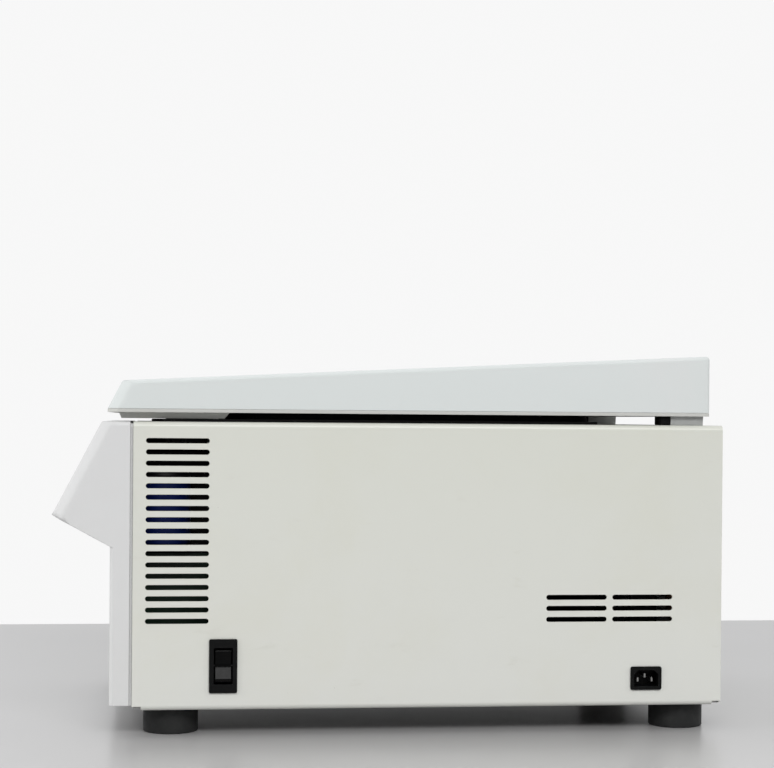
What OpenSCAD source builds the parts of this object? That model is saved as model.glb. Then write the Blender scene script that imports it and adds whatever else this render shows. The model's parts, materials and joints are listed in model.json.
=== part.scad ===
// Bench microcentrifuge with a refrigerated chamber, a wedge-shaped control nose and a full-length hinged lid.
// Front is -Y, the side with the mains switch and inlet is +X, up is +Z. Sizes in millimetres.

/* [Housing] */
// Width over the two side panels
body_w = 390; // [370:1:420]
// Length of the side panels, from the front seam to the back
panel_len = 573; // [560:1:640]
// Height of the side panels
panel_h = 274; // [265:1:320]
// Thickness of the painted sheet
sheet = 1.5; // [1:0.1:2]
// Outer radius of the folded panel edges
bend_r = 5; // [3.5:0.5:6]
// Width of the fold along the top of a side panel
top_flange = 30; // [28:1:34]
// Width of the fold along the bottom of a side panel
low_flange = 14; // [10:1:20]
// Length of the notch in the lower fold at each end of a side panel
relief_len = 8.5; // [6:0.5:10]
// Height of that notch
relief_h = 4; // [2.5:0.5:5]
// Thickness of the base plate
base_t = 2; // [1.5:0.5:3]
// Gap between parts that are fitted beside each other
fit = 0.3; // [0.25:0.05:0.4]

/* [Feet] */
// Diameter of a foot
foot_d = 53; // [40:1:54]
// Bevel round the lower edge of a foot
foot_edge = 1; // [0.5:0.1:3]
// Height of the housing above the table
foot_h = 25; // [18:1:32]
// Sideways distance of a foot from the middle
foot_x = 154; // [120:1:154]
// Distance of the front feet behind the seam
foot_front = 37; // [30:1:60]
// Distance of the rear feet ahead of the back
foot_back = 34.5; // [30:0.5:40]

/* [Vents] */
// Length of a vent slot
slot_len = 60; // [45:0.5:62]
// Width of a vent slot
slot_w = 4.9; // [3:0.1:5.5]
// Distance between two slots
slot_pitch = 10.7; // [9:0.1:11]
// Number of slots in the front vent
slot_count = 17; // [8:1:17]
// Distance of the front vent behind the seam
vent_front = 11.9; // [8:0.1:16]
// Height of the lowest slot above the panel's lower edge
vent_low = 84.7; // [80:0.1:92]
// Distance of the rear vent behind the seam
vent_back = 398.2; // [380:0.1:410]
// Distance between the two columns of the rear vent
vent_column = 65.5; // [64:0.5:75]
// Number of rows in the rear vent
vent_rows = 3; // [2:1:6]

/* [Front cover] */
// Depth of the gap between front cover and side panels
seam_gap = 2.8; // [1.5:0.1:4]
// Distance of the lower front face ahead of the seam
apron_out = 21.4; // [18:0.2:30]
// Distance of the nose's point ahead of the seam
nose_out = 76; // [70:0.5:85]
// Depth of the nose's point below the top of the housing
nose_drop = 88.7; // [85:0.1:100]
// Slope of the control face
nose_slope = 62.5; // [58:0.5:66]
// Depth of the nose's root below its point
chin_drop = 29.8; // [24:0.2:36]
// Wall of the front cover
cover_wall = 3; // [2.5:0.5:4]
// Height of the front cover's lower edge above the panel's lower edge
cover_lift = 5; // [3.5:0.5:8]
// Reach of the sloped faces' bevelled side edges across the face
band_x = 6.5; // [4:0.5:8]
// Reach of those bevels along the sides
band_d = 9; // [6:0.5:11]
// Rounding at both borders of those bevels
band_r = 4; // [2:0.5:5]
// Rounding of the other outer edges
edge_r = 4; // [2.5:0.5:5]
// Reach of the cover's rear lip behind the side panels
lip_reach = 7; // [5:0.5:9]
// Reach of the cover's lip under the front of the deck
lip_tuck = 5; // [3:0.5:6]

/* [Control panel] */
// Width of the panel plate
plate_w = 330; // [320:1:340]
// Height of the panel plate along the slope
plate_h = 76; // [70:1:78]
// Thickness of the panel plate
plate_t = 2; // [1.8:0.1:2.5]
// Depth of the plate's seat in the front cover
plate_seat = 2; // [1.6:0.1:2.2]
// Corner radius of the panel plate
plate_r = 4; // [2:0.5:6]
// Width of the display window
window_w = 146; // [120:1:150]
// Height of the display window
window_h = 32; // [26:1:34]
// Width of a small key
key_w = 22; // [16:1:24]
// Width of the two large keys
key_wide = 34; // [28:1:38]
// Height of a key
key_h = 13; // [10:1:15]
// Corner radius of a key
key_r = 3; // [1.5:0.5:4]
// Height of a key above the plate
key_proud = 1.2; // [1.1:0.1:1.6]
// Travel of a key
key_travel = 1; // [0.5:0.1:1.2]
// Gap around a key
key_gap = 0.3; // [0.25:0.05:0.4]

/* [Mains switch and inlet] */
// Width of the switch frame
switch_w = 26.7; // [25:0.1:29]
// Height of the switch frame
switch_h = 51.2; // [49:0.1:55]
// Thickness of the switch frame outside the panel
switch_t = 2; // [1.5:0.1:3]
// Distance of the switch behind the seam
switch_u = 86; // [80:1:110]
// Height of the switch above the panel's lower edge
switch_z = 42; // [36:1:44]
// Radius of the rocker about its pivot
rocker_r = 17; // [15:0.5:17.5]
// Width of the rocker
rocker_w = 17.6; // [15:0.1:18.4]
// Swing of the rocker between its two positions
rocker_swing = 20; // [16:1:24]
// Width of the inlet flange
inlet_w = 30.8; // [30:0.1:32]
// Height of the inlet flange
inlet_h = 22.7; // [22.5:0.1:24]
// Distance of the inlet behind the seam
inlet_u = 497.6; // [470:0.1:510]
// Height of the inlet above the panel's lower edge
inlet_z = 27; // [24:0.5:34]

/* [Lid] */
// Gap between housing and lid
lid_gap = 8.8; // [8:0.1:10]
// Distance of the lid's front edge ahead of the seam
lid_out = 24.4; // [20:0.2:28]
// Distance of the lid's back ahead of the housing's back
lid_back = 13; // [12:0.5:16]
// Height of the lid at the front
lid_front_h = 30; // [29:0.5:36]
// Height of the lid at the back
lid_rear_h = 59; // [56:0.5:66]
// Run of the lid's front slope
lid_slope_run = 13.8; // [11:0.2:17]
// Wall of the lid shell
lid_wall = 3.5; // [3:0.5:4]
// Height of the rim at the lid's lower edge
rim_h = 3.3; // [3:0.1:3.8]
// Shadow gap between rim and shell
rim_gap = 0.5; // [0.3:0.1:0.8]
// Diameter of the sight window
sight_d = 36; // [24:1:44]
// Opening angle of the lid
lid_swing = 68; // [50:1:70]

/* [Chamber] */
// Distance of the rotor axis behind the seam
axis_u = 270; // [268:1:276]
// Inner radius of the bowl
bowl_r = 150; // [146:0.5:151]
// Inner depth of the bowl below the housing top
bowl_depth = 124; // [120:1:126]
// Thickness of the bowl
bowl_t = 1.2; // [1:0.1:1.5]
// Width of the raised collar around the bowl
collar_w = 356; // [350:1:358]
// Length of the raised collar
collar_len = 360; // [354:1:362]
// Height of the collar above the housing top
collar_h = 12; // [11.5:0.1:12.4]
// Corner radius of the collar
collar_r = 40; // [25:1:60]
// Slope of the collar's sides
collar_draft = 2.5; // [1:0.1:3]
// Thickness of the deck plate
deck_t = 2.6; // [2.2:0.1:2.8]
// How far the deck plate laps the top fold of each side panel
deck_lap = 21; // [18:1:23]
// Height of the lid seal
seal_h = 4; // [3.5:0.1:4.2]
// Thickness of the foam round the bowl
foam_t = 21; // [15:1:22]
// Radius of the cooling tube
coil_r = 3.6; // [2.5:0.1:3.8]
// Turns of the cooling tube
coil_turns = 8; // [5:1:8]

/* [Rotor and drive] */
// Radius of the rotor
rotor_r = 110; // [104:1:116]
// Height of the rotor
rotor_h = 72; // [68:1:74]
// Number of tube bores
tube_count = 24; // [12:1:24]
// Radius of a tube bore
tube_r = 5.6; // [4:0.1:5.8]
// Depth of a tube bore
tube_depth = 36; // [28:1:37]
// Radius of the drive shaft
shaft_r = 8; // [7:0.5:9]
// Running clearance of shafts and pins
run = 0.05; // [0.03:0.01:0.08]
// Radius of the motor body
motor_r = 60; // [54:1:62]
// Radius of the condenser fan
fan_r = 64; // [56:1:66]
// Number of fan blades
blade_count = 7; // [5:1:9]
// Diameter of the drive capacitor
can_d = 52; // [44:1:54]
// Height of the drive capacitor
can_h = 70; // [60:1:80]
// Radius of the compressor shell
pump_r = 60; // [54:1:61]

/* [Hidden] */
$fn = 64;
hull_fn = 32;
band_steps = 6;
face_reach = 700;
z_low = foot_h;
z_top = z_low + panel_h;
z_lid = z_top + lid_gap;
seam_y = -(panel_len - nose_out) / 2;
back_y = seam_y + panel_len;
side_x = body_w / 2;
inner_x = side_x - sheet;
flange_x = side_x - top_flange;
floor_z = z_low + sheet + base_t;
base_x = side_x - bend_r - fit;
cover_y = seam_y - seam_gap;
cover_low = z_low + cover_lift;
apron_y = seam_y - apron_out;
tip = [seam_y - nose_out, z_top - nose_drop];
brow = [tip[0] + nose_drop / tan(nose_slope), z_top];
chin = [apron_y, tip[1] - chin_drop];
under_slope = atan2(chin_drop, nose_out - apron_out);
face_mid = (tip + brow) / 2;
deck_w = 2 * (flange_x + deck_lap);
deck_front = seam_y + 17;
axis_y = seam_y + axis_u;
collar_front = axis_y - collar_len / 2;
collar_rear = axis_y + collar_len / 2;
deck_rear = collar_rear + 2;
deck_top = z_top + deck_t;
collar_top = z_top + collar_h;
seal_top = collar_top + seal_h;
roof_z = seal_top + fit;
roof_t = 2.5;
lid_front_y = seam_y - lid_out;
lid_rear_y = back_y - lid_back;
lid_brow = [lid_front_y + lid_slope_run, z_lid + lid_front_h];
lid_heel = [lid_rear_y, z_lid + lid_rear_h];
lid_pitch = atan2(lid_heel[1] - lid_brow[1], lid_heel[0] - lid_brow[0]);
lid_slope = atan2(lid_front_h - rim_h, lid_slope_run);
shell_low = z_lid + rim_h;
hinge_back = 14;
hinge_up = 12;
hinge_y = lid_rear_y - hinge_back;
hinge_z = z_lid + hinge_up;
knuckle_r = 9.5;
pin_r = 5;
bracket_front = hinge_y - 24;
bracket_rear = hinge_y + 9.5;
bracket_w = 22;
bracket_x = flange_x + 2 + bracket_w / 2;
arm_w = 20;
arm_x = bracket_x - bracket_w / 2 - fit - arm_w / 2;
buffer_len = 10.5;
pocket_front = bracket_front - buffer_len - 8;
pad_low = z_top + deck_t + 0.4;
pad_front = seam_y - 14;
pad_rear = collar_front + 1;
pad_draft = 2.4;
hook_x = 90;
hook_y = deck_front + 24;
hook_t = 4;
latch_pin_r = 4;
eye_half = latch_pin_r + 2;
hook_leg = 4;
hook_len = 2 * (eye_half + hook_leg);
hook_drop = 30;
eye_z = pad_low - hook_drop + hook_leg + eye_half;
latch_travel = 8;
rail_y = hook_y + 24;
rail_s = 8;
bowl_floor = z_top - bowl_depth;
bowl_lip = 10;
coil_rings_per_turn = 24;
coil_gap = 0.4;
coil_mid = (bowl_r + bowl_t + coil_gap) / cos(180 / coil_rings_per_turn) + coil_r;
coil_pitch = (bowl_depth - 28) / coil_turns;
foam_in = coil_mid + coil_r + 1;
foam_out = foam_in + foam_t;
shelf_z = bowl_floor - 15;
shelf_t = 2;
foam_top = z_top - sheet - 1.5;
rotor_low = bowl_floor + 14;
rotor_top = rotor_low + rotor_h;
rotor_lid_h = 13;
knob_low = rotor_top + rotor_lid_h + fit;
motor_low = floor_z + 16;
motor_top = bowl_floor - 25;
motor_flange_z = motor_low + 26;
motor_flange_r = motor_r + 28;
damper_r = 12;
damper_at = motor_r + damper_r + 2;
bearing_r = 21;
bearing_h = 12;
switch_y = seam_y + switch_u;
switch_mid = z_low + switch_z;
switch_body_w = switch_w - 4.7;
switch_body_h = switch_h - 7.1;
rocker_pivot = side_x - 2.5;
rocker_face = 2;
rocker_gap = 0.4;
stub_r = 1.8;
stub_len = 1.4;
inlet_y = seam_y + inlet_u;
inlet_mid = z_low + inlet_z;
inlet_t = 1.8;
inlet_body_w = inlet_w - 4;
inlet_body_h = inlet_h - 3;
inlet_body_d = 24;
recess_w = 24;
recess_h = 16;
recess_d = 19;
pin_len = 13.5;
board_t = 1.6;
key_flange_t = 1;
key_back = -plate_seat - fit - key_flange_t;
tact_h = 2;
board_z = key_back - key_travel - fit - tact_h - board_t;
fan_y = back_y - 72;
fan_frame_t = 26;
fan_frame_s = 2 * fan_r + 20;
fan_x = 50;
filter_h = 38;
fan_lift = 6;
fan_z = floor_z + filter_h + fan_lift + fan_frame_s / 2;
cond_y = fan_y + fan_frame_t;
cond_d = 24;
cond_w = 186;
cond_h = 176;
cond_low = floor_z + 24;
pump_inset = 53;
pump_x = pump_inset - foot_x;
pump_y = back_y - 66;
pump_low = floor_z + 10;
pump_h = 150;
stub_top = pump_low + pump_h + 8;
pump_out_x = 10;
line_r = 4;
line_bend = 12;
line_y = cond_y + cond_d / 2;
line_high = cond_low + 18 + 5 * 28;
drier_run = 7;
drier_x = fan_x + cond_w / 2 + 6 + drier_run + line_bend;
drier_low = cond_low + 50;
drier_h = 88;
suction_end = axis_y + sqrt(pow(foam_out, 2) - pow(pump_x, 2)) - 12;
entry_inset = 29;
entry_x = foam_out - entry_inset;
liquid_end = axis_y + sqrt(pow(foam_out, 2) - pow(entry_x, 2)) - 12;
can_x = inner_x - can_d / 2 - 16;
can_y = seam_y + can_d / 2 + 3;
can_low = z_top - 119;
bracket_wall = 100;
screw_r = 2;

// Place on the control face of a key: sideways and up the slope
key_row = -21;
KEYS = [["key_time", -124, key_row, key_w], ["key_speed", -94, key_row, key_w],
    ["key_temp", -64, key_row, key_w], ["key_down", -22, key_row, key_w], ["key_up", 8, key_row, key_w],
    ["key_lid", 56, key_row, key_w], ["key_start", 120, 16, key_wide], ["key_stop", 120, key_row, key_wide]];
window_at = [-58, 14];

// Inner corner of a rounding of radius r between two edges that leave p at the angles a and b
function inset(p, a, b, r) = p + r / sin((b - a) / 2) * [cos((a + b) / 2), sin((a + b) / 2)];

// Height of the lid's outer top at a place along Y
// Bevelled corner of a sloped face as points of [sideways place, depth behind the face]
function face_corner(x, k) =
    let (turn = atan2(band_x, band_d), r = band_r * k,
        low = [x - r, k * band_d + r * tan(turn / 2)],
        high = [x - k * band_x - r * tan((90 - turn) / 2), r])
    concat([for (i = [0:band_steps]) low + r * fall(turn * i / band_steps)],
        [for (i = [0:band_steps]) high + r * fall(turn + (90 - turn) * i / band_steps)]);

function fall(a) = [cos(a), -sin(a)];

function lid_top(y) = lid_brow[1] + (y - lid_brow[0]) * tan(lid_pitch);

module round_rect(w, h, r) {
    square([w - 2 * r, h], center = true);
    square([w, h - 2 * r], center = true);
    for (sx = [-1, 1], sy = [-1, 1])
        translate([sx * (w / 2 - r), sy * (h / 2 - r)])
            circle(r);
}

module slot_shape(len, w) {
    square([len - w, w], center = true);
    for (s = [-1, 1])
        translate([s * (len - w) / 2, 0])
            circle(d = w);
}

// Outline in Y and Z made solid across X, centred on x
module across(x, w) {
    translate([x - w / 2, 0, 0])
        rotate([90, 0, 90])
            linear_extrude(w)
                children();
}

// Outline in X and Z made solid along Y, from y onward
module along(y, len) {
    translate([0, y + len, 0])
        rotate([90, 0, 0])
            linear_extrude(len)
                children();
}

module box(low, high) {
    translate(low)
        cube(high - low);
}

module both_sides() {
    children();
    mirror([1, 0, 0])
        children();
}

// Frame of the control face: x sideways, y up the slope, z outward
module on_face() {
    translate([0, face_mid[0], face_mid[1]])
        rotate([nose_slope, 0, 0])
            children();
}

// Frame of the lid's sloped front, laid out like that of the control face
module on_lid_face() {
    translate([0, lid_brow[0], lid_brow[1]])
        rotate([lid_slope, 0, 0])
            children();
}

// Solid that lies w inside a sloped face and its bevelled side edges
module behind_face(w) {
    k = 1 - w * (1 / band_x + 1 / band_d - norm([1 / band_x, 1 / band_d]));
    half = [for (p = face_corner(side_x - w, k)) [p[0], -w - p[1]]];
    other = [for (i = [len(half) - 1:-1:0]) [-half[i][0], half[i][1]]];
    rotate([90, 0, 0])
        linear_extrude(2 * face_reach, center = true)
            polygon(concat([[side_x - w, -face_reach]], half, other, [[w - side_x, -face_reach]]));
}

module side_profile() {
    difference() {
        translate([flange_x, z_low + panel_h / 2])
            round_rect(2 * top_flange, panel_h, bend_r);
        translate([flange_x, z_low + panel_h / 2])
            round_rect(2 * (top_flange - sheet), panel_h - 2 * sheet, bend_r - sheet);
        translate([flange_x - 2 * top_flange, z_low - 1])
            square([2 * top_flange, panel_h + 2]);
        translate([flange_x - 1, z_low - 1])
            square([top_flange - low_flange + 1, panel_h / 2]);
    }
}

module vent_slot(u, z) {
    translate([side_x - 4 * sheet, seam_y + u + slot_len / 2, z])
        rotate([90, 0, 90])
            linear_extrude(8 * sheet)
                slot_shape(slot_len, slot_w);
}

module vented_side() {
    difference() {
        along(seam_y, panel_len)
            side_profile();
        for (y = [seam_y - 1, back_y - relief_len])
            box([0, y, z_low - 1], [side_x + 1, y + relief_len + 1, z_low + relief_h]);
        for (i = [0:slot_count - 1])
            vent_slot(vent_front, z_low + vent_low + i * slot_pitch);
        for (i = [0:vent_rows - 1], c = [0, 1])
            vent_slot(vent_back + c * vent_column, z_low + vent_low + i * slot_pitch);
    }
}

module right_panel() {
    color([0.86, 0.84, 0.77])
        difference() {
            vented_side();
            translate([side_x, switch_y, switch_mid])
                cube([20, switch_body_w + 2 * fit, switch_body_h + 2 * fit], center = true);
            translate([side_x, inlet_y, inlet_mid])
                cube([20, inlet_body_w + 2 * fit, inlet_body_h + 2 * fit], center = true);
        }
}

module left_panel() {
    color([0.86, 0.84, 0.77])
        mirror([1, 0, 0])
            vented_side();
}

module at_feet() {
    for (sx = [-1, 1], y = [seam_y + foot_front, back_y - foot_back])
        translate([sx * foot_x, y, 0])
            children();
}

module at_dampers() {
    for (a = [90, 210, 330])
        translate([damper_at * cos(a), axis_y + damper_at * sin(a), 0])
            children();
}

module at_pump_feet() {
    for (sx = [-1, 1], sy = [-1, 1])
        translate([pump_x + sx * 40, pump_y + sy * 40, 0])
            children();
}

module base_plate() {
    color([0.75, 0.76, 0.77])
        difference() {
            union() {
                box([-base_x, seam_y + 1, floor_z - base_t], [base_x, back_y - sheet - fit, floor_z]);
                box([-base_x, seam_y + 1, floor_z - base_t], [base_x, seam_y + 1 + base_t, floor_z + 14]);
            }
            at_feet()
                translate([0, 0, floor_z - base_t - 1])
                    cylinder(r = screw_r + run, h = base_t + 2);
            at_dampers()
                translate([0, 0, floor_z - base_t - 1])
                    cylinder(r = screw_r + 1, h = base_t + 2);
        }
}

module rear_panel() {
    lip = 12;
    color([0.86, 0.84, 0.77])
        difference() {
            union() {
                along(back_y - sheet, sheet)
                    translate([0, z_low + panel_h / 2])
                        round_rect(2 * (inner_x - fit), panel_h - 2 * (sheet + fit), bend_r - sheet);
                both_sides()
                    box([inner_x - fit - sheet, back_y - lip, z_low + bend_r + base_t], [inner_x - fit, back_y, z_top - bend_r]);
            }
            for (i = [-4:9], s = [-1, 1])
                translate([fan_x + s * vent_column / 2, back_y + 1, z_low + vent_low + i * slot_pitch])
                    rotate([90, 0, 0])
                        linear_extrude(sheet + 2)
                            slot_shape(slot_len, slot_w);
            at_rear_screws()
                rotate([90, 0, 0])
                    cylinder(r = screw_r + run, h = 2 * lip, center = true);
        }
}

module at_rear_screws() {
    for (sx = [-1, 1], dz = [18, panel_h / 2, panel_h - 18])
        translate([sx * (inner_x - 10), back_y, z_low + dz])
            children();
}

module rear_screws() {
    color([0.6, 0.6, 0.6])
        at_rear_screws()
            rotate([90, 0, 0]) {
                translate([0, 0, -sheet])
                    cylinder(r = 4, h = sheet);
                cylinder(r = screw_r, h = 7);
            }
}

module rear_top_cover() {
    x = flange_x - fit;
    front = deck_rear + fit;
    rear = back_y - sheet - fit;
    color([0.86, 0.84, 0.77]) {
        box([-x, front, z_top - sheet], [x, back_y, z_top]);
        box([-x, front, z_top - 12], [x, front + sheet, z_top]);
        box([-x, rear - sheet, z_top - 12], [x, rear, z_top]);
    }
}

module nose_block() {
    top_rear = [seam_y + 10, z_top];
    face_up = inset(brow, 180 + nose_slope, 360, edge_r);
    intersection() {
        across(0, body_w)
            polygon([[cover_y, chin[1] - 6], chin, tip, brow, [cover_y, z_top]]);
        hull() {
            for (s = [-1, 1]) {
                translate([s * (side_x - edge_r), face_up[0], face_up[1]])
                    sphere(edge_r, $fn = hull_fn);
                translate([s * (side_x - edge_r), face_up[0], face_up[1]])
                    translate(140 * [0, -cos(nose_slope), -sin(nose_slope)])
                        sphere(edge_r, $fn = hull_fn);
                translate([s * (side_x - edge_r), top_rear[0], top_rear[1] - edge_r])
                    rotate([90, 0, 0])
                        cylinder(r = edge_r, h = 1, $fn = hull_fn);
                translate([s * (side_x - 1), top_rear[0], z_low + 60])
                    cube([2, 1, 1], center = true);
            }
        }
        on_face()
            behind_face(0);
    }
}

module apron_block() {
    hull() {
        for (s = [-1, 1]) {
            translate([s * (side_x - edge_r), apron_y + edge_r, cover_low])
                cylinder(r = edge_r, h = chin[1] - cover_low + 10, $fn = hull_fn);
            translate([s * (side_x - edge_r / 2), cover_y - 0.5, cover_low + (chin[1] - cover_low + 10) / 2])
                cube([edge_r, 1, chin[1] - cover_low + 10], center = true);
        }
    }
}

module cover_hollow() {
    w = cover_wall;
    tip_in = inset(tip, -under_slope, nose_slope, w);
    brow_in = [brow[0] - w / tan(nose_slope) + w / sin(nose_slope), z_top - w];
    chin_in = [apron_y + w, chin[1] - w * tan(under_slope) + w / cos(under_slope)];
    intersection() {
        across(0, body_w - 2 * w)
            polygon([[seam_y + 1, cover_low + w], [apron_y + w, cover_low + w], chin_in, tip_in, brow_in,
                [seam_y + 1, z_top - w]]);
        on_face()
            behind_face(w);
    }
}

module cover_lip() {
    x = inner_x - fit;
    t = 2.2;
    top = z_top - sheet - fit;
    front = cover_y - 5;
    r = bend_r - sheet;
    difference() {
        along(front, seam_y + lip_reach - front)
            difference() {
                translate([0, top - panel_h / 2])
                    round_rect(2 * x, panel_h, r);
                translate([0, top - panel_h / 2 - t])
                    round_rect(2 * (x - t), panel_h, r - 1);
                translate([-side_x, z_low - panel_h])
                    square([body_w, panel_h + cover_lift]);
            }
        box([-side_x, seam_y + 1 - fit, z_low - panel_h], [side_x, seam_y + lip_reach + 1, floor_z + 16]);
    }
    box([-flange_x + fit, seam_y - seam_gap, top - t], [flange_x - fit, deck_front + lip_tuck, top]);
}

module front_cover() {
    color([0.83, 0.85, 0.86])
        difference() {
            union() {
                difference() {
                    union() {
                        nose_block();
                        apron_block();
                    }
                    cover_hollow();
                }
                cover_lip();
                on_face()
                    board_mounts();
            }
            on_face()
                translate([0, 0, -plate_seat])
                    linear_extrude(10)
                        round_rect(plate_w + 2 * fit, plate_h + 2 * fit, plate_r + fit);
            on_face()
                translate([0, 0, -10])
                    linear_extrude(10)
                        round_rect(plate_w - 24, plate_h - 12, plate_r);
        }
}

// Four bosses behind the control face that carry the board
module board_mounts() {
    for (sx = [-1, 1], sy = [-1, 1])
        translate([sx * (plate_w / 2 - 5), sy * 24, board_z + board_t])
            cylinder(r = 4, h = -board_z - board_t - plate_seat - 0.5);
}

module control_panel() {
    color([0.25, 0.29, 0.34])
        on_face()
            difference() {
                translate([0, 0, -plate_seat])
                    linear_extrude(plate_t)
                        round_rect(plate_w, plate_h, plate_r);
                for (k = KEYS)
                    translate([k[1], k[2], -5])
                        linear_extrude(10)
                            round_rect(k[3] + 2 * key_gap, key_h + 2 * key_gap, key_r + key_gap);
                translate([window_at[0], window_at[1], -5])
                    linear_extrude(10)
                        square([window_w + 2 * fit, window_h + 2 * fit], center = true);
            }
}

module display_window() {
    color([0.05, 0.07, 0.08])
        on_face()
            translate([window_at[0], window_at[1], -plate_seat]) {
                linear_extrude(plate_t - 0.4)
                    square([window_w, window_h], center = true);
            }
}

module control_board() {
    color([0.1, 0.35, 0.2])
        on_face() {
            translate([0, 0, board_z])
                linear_extrude(board_t)
                    square([plate_w + 4, plate_h - 12], center = true);
            for (k = KEYS)
                translate([k[1], k[2], board_z + board_t + tact_h / 2])
                    cube([6, 6, tact_h], center = true);
            translate([window_at[0], window_at[1], 0])
                box([-window_w / 2, -window_h / 2, board_z + board_t],
                    [window_w / 2, window_h / 2, -plate_seat - fit]);
        }
}

module key_cap(k) {
    color([0.8, 0.82, 0.83])
        on_face()
            translate([k[1], k[2], 0]) {
                translate([0, 0, key_back])
                    linear_extrude(plate_t - plate_seat + key_proud - key_back)
                        round_rect(k[3], key_h, key_r);
                translate([0, 0, key_back])
                    linear_extrude(key_flange_t)
                        round_rect(k[3] + 3, key_h + 3, key_r);
            }
}

module switch_frame() {
    pocket_w = rocker_w + 2 * fit;
    pocket_h = 2 * (rocker_r + rocker_gap);
    color([0.07, 0.07, 0.07])
        translate([0, switch_y, switch_mid])
            difference() {
                union() {
                    translate([side_x, 0, 0])
                        rotate([90, 0, 90])
                            linear_extrude(switch_t)
                                round_rect(switch_w, switch_h, 1.5);
                    box([side_x - 30, -switch_body_w / 2, -switch_body_h / 2],
                        [side_x, switch_body_w / 2, switch_body_h / 2]);
                }
                box([rocker_pivot - 12, -pocket_w / 2, -pocket_h / 2],
                    [side_x + 5, pocket_w / 2, pocket_h / 2]);
                translate([rocker_pivot, 0, 0])
                    rotate([90, 0, 0])
                        cylinder(r = stub_r + run, h = rocker_w + 2 * stub_len + 2 * fit, center = true);
            }
}

module rocker_outline() {
    rise = rocker_r * tan(rocker_swing / 2);
    intersection() {
        circle(rocker_r);
        polygon([[-8, -rocker_r], [rocker_face + rise, -rocker_r], [rocker_face, 0], [rocker_face + rise, rocker_r],
            [-8, rocker_r]]);
    }
}

module power_rocker() {
    color([0.09, 0.09, 0.09])
        translate([rocker_pivot, switch_y, switch_mid])
            rotate([0, -rocker_swing / 2, 0])
                rotate([90, 0, 0]) {
                    linear_extrude(rocker_w, center = true)
                        rocker_outline();
                    cylinder(r = stub_r, h = rocker_w + 2 * stub_len, center = true);
                }
}

module inlet_shape(w, h, cut) {
    polygon([[-w / 2, -h / 2], [w / 2, -h / 2], [w / 2, h / 2 - cut], [w / 2 - cut, h / 2],
        [-w / 2 + cut, h / 2], [-w / 2, h / 2 - cut]]);
}

module inlet_socket() {
    color([0.08, 0.08, 0.08])
        translate([0, inlet_y, inlet_mid])
            difference() {
                union() {
                    translate([side_x, 0, 0])
                        rotate([90, 0, 90])
                            linear_extrude(inlet_t)
                                round_rect(inlet_w, inlet_h, 2);
                    box([side_x - inlet_body_d, -inlet_body_w / 2, -inlet_body_h / 2],
                        [side_x, inlet_body_w / 2, inlet_body_h / 2]);
                }
                translate([side_x + inlet_t - recess_d, 0, 0])
                    rotate([90, 0, 90])
                        linear_extrude(recess_d + 1)
                            inlet_shape(recess_w, recess_h, 4);
                at_inlet_pins()
                    cube([80, 2 + 2 * run, 4 + 2 * run], center = true);
            }
}

module at_inlet_pins() {
    for (p = [[-7, -2], [7, -2], [0, 2]])
        translate([side_x, p[0], p[1]])
            children();
}

module inlet_pins() {
    x0 = side_x - inlet_body_d - 8;
    x1 = side_x + inlet_t - recess_d + pin_len;
    color([0.8, 0.78, 0.7])
        translate([0, inlet_y, inlet_mid])
            at_inlet_pins()
                translate([(x0 + x1) / 2 - side_x, 0, 0])
                    cube([x1 - x0, 2, 4], center = true);
}

module collar_plate(grow) {
    linear_extrude(0.5)
        round_rect(collar_w + 2 * grow, collar_len + 2 * grow, collar_r + grow, $fn = hull_fn);
}

module top_deck() {
    mid = (deck_front + deck_rear) / 2;
    color([0.06, 0.06, 0.065])
        difference() {
            union() {
                translate([0, mid, z_top])
                    linear_extrude(deck_t)
                        round_rect(deck_w, deck_rear - deck_front, 12);
                hull() {
                    translate([0, axis_y, z_top])
                        collar_plate(0);
                    translate([0, axis_y, collar_top - 0.5])
                        collar_plate(-collar_draft);
                }
            }
            translate([0, axis_y, z_top - 1])
                cylinder(r = bowl_r, h = collar_h + 2);
            translate([0, axis_y, collar_top - 1])
                difference() {
                    cylinder(r = bowl_r + 14, h = 2);
                    translate([0, 0, -1])
                        cylinder(r = bowl_r + 6, h = 4);
                }
            for (s = [-1, 1])
                translate([s * hook_x, hook_y, z_top])
                    cube([hook_t + 6, hook_len + 14, 20], center = true);
        }
}

module chamber_seal() {
    mid = bowl_r + 10;
    color([0.12, 0.12, 0.13])
        translate([0, axis_y, 0])
            rotate_extrude() {
                translate([mid - 3.8, collar_top - 1])
                    square([7.6, 2.5]);
                translate([mid, collar_top + seal_h - 2.5])
                    circle(2.5);
            }
}

module rotor_bowl() {
    t = bowl_t;
    color([0.75, 0.76, 0.78])
        translate([0, axis_y, 0])
            rotate_extrude() {
                translate([bowl_r, bowl_floor - t])
                    square([t, bowl_depth + t]);
                translate([bowl_r, z_top - t])
                    square([bowl_lip, t]);
                translate([26, bowl_floor - t])
                    square([bowl_r - 26 + t, t]);
                translate([26, bowl_floor - t])
                    square([t, 8]);
            }
}

// One unbroken tube wound on the bowl
coil_rings = coil_rings_per_turn * coil_turns;
coil_sides = 6;
coil_low = bowl_floor + 8;

function coil_point(i, s) = let (t = i / coil_rings_per_turn, b = 360 * s / coil_sides, q = coil_mid + coil_r * cos(b))
    [q * cos(360 * t), q * sin(360 * t), coil_low + coil_pitch * t + coil_r * sin(b)];

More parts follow.
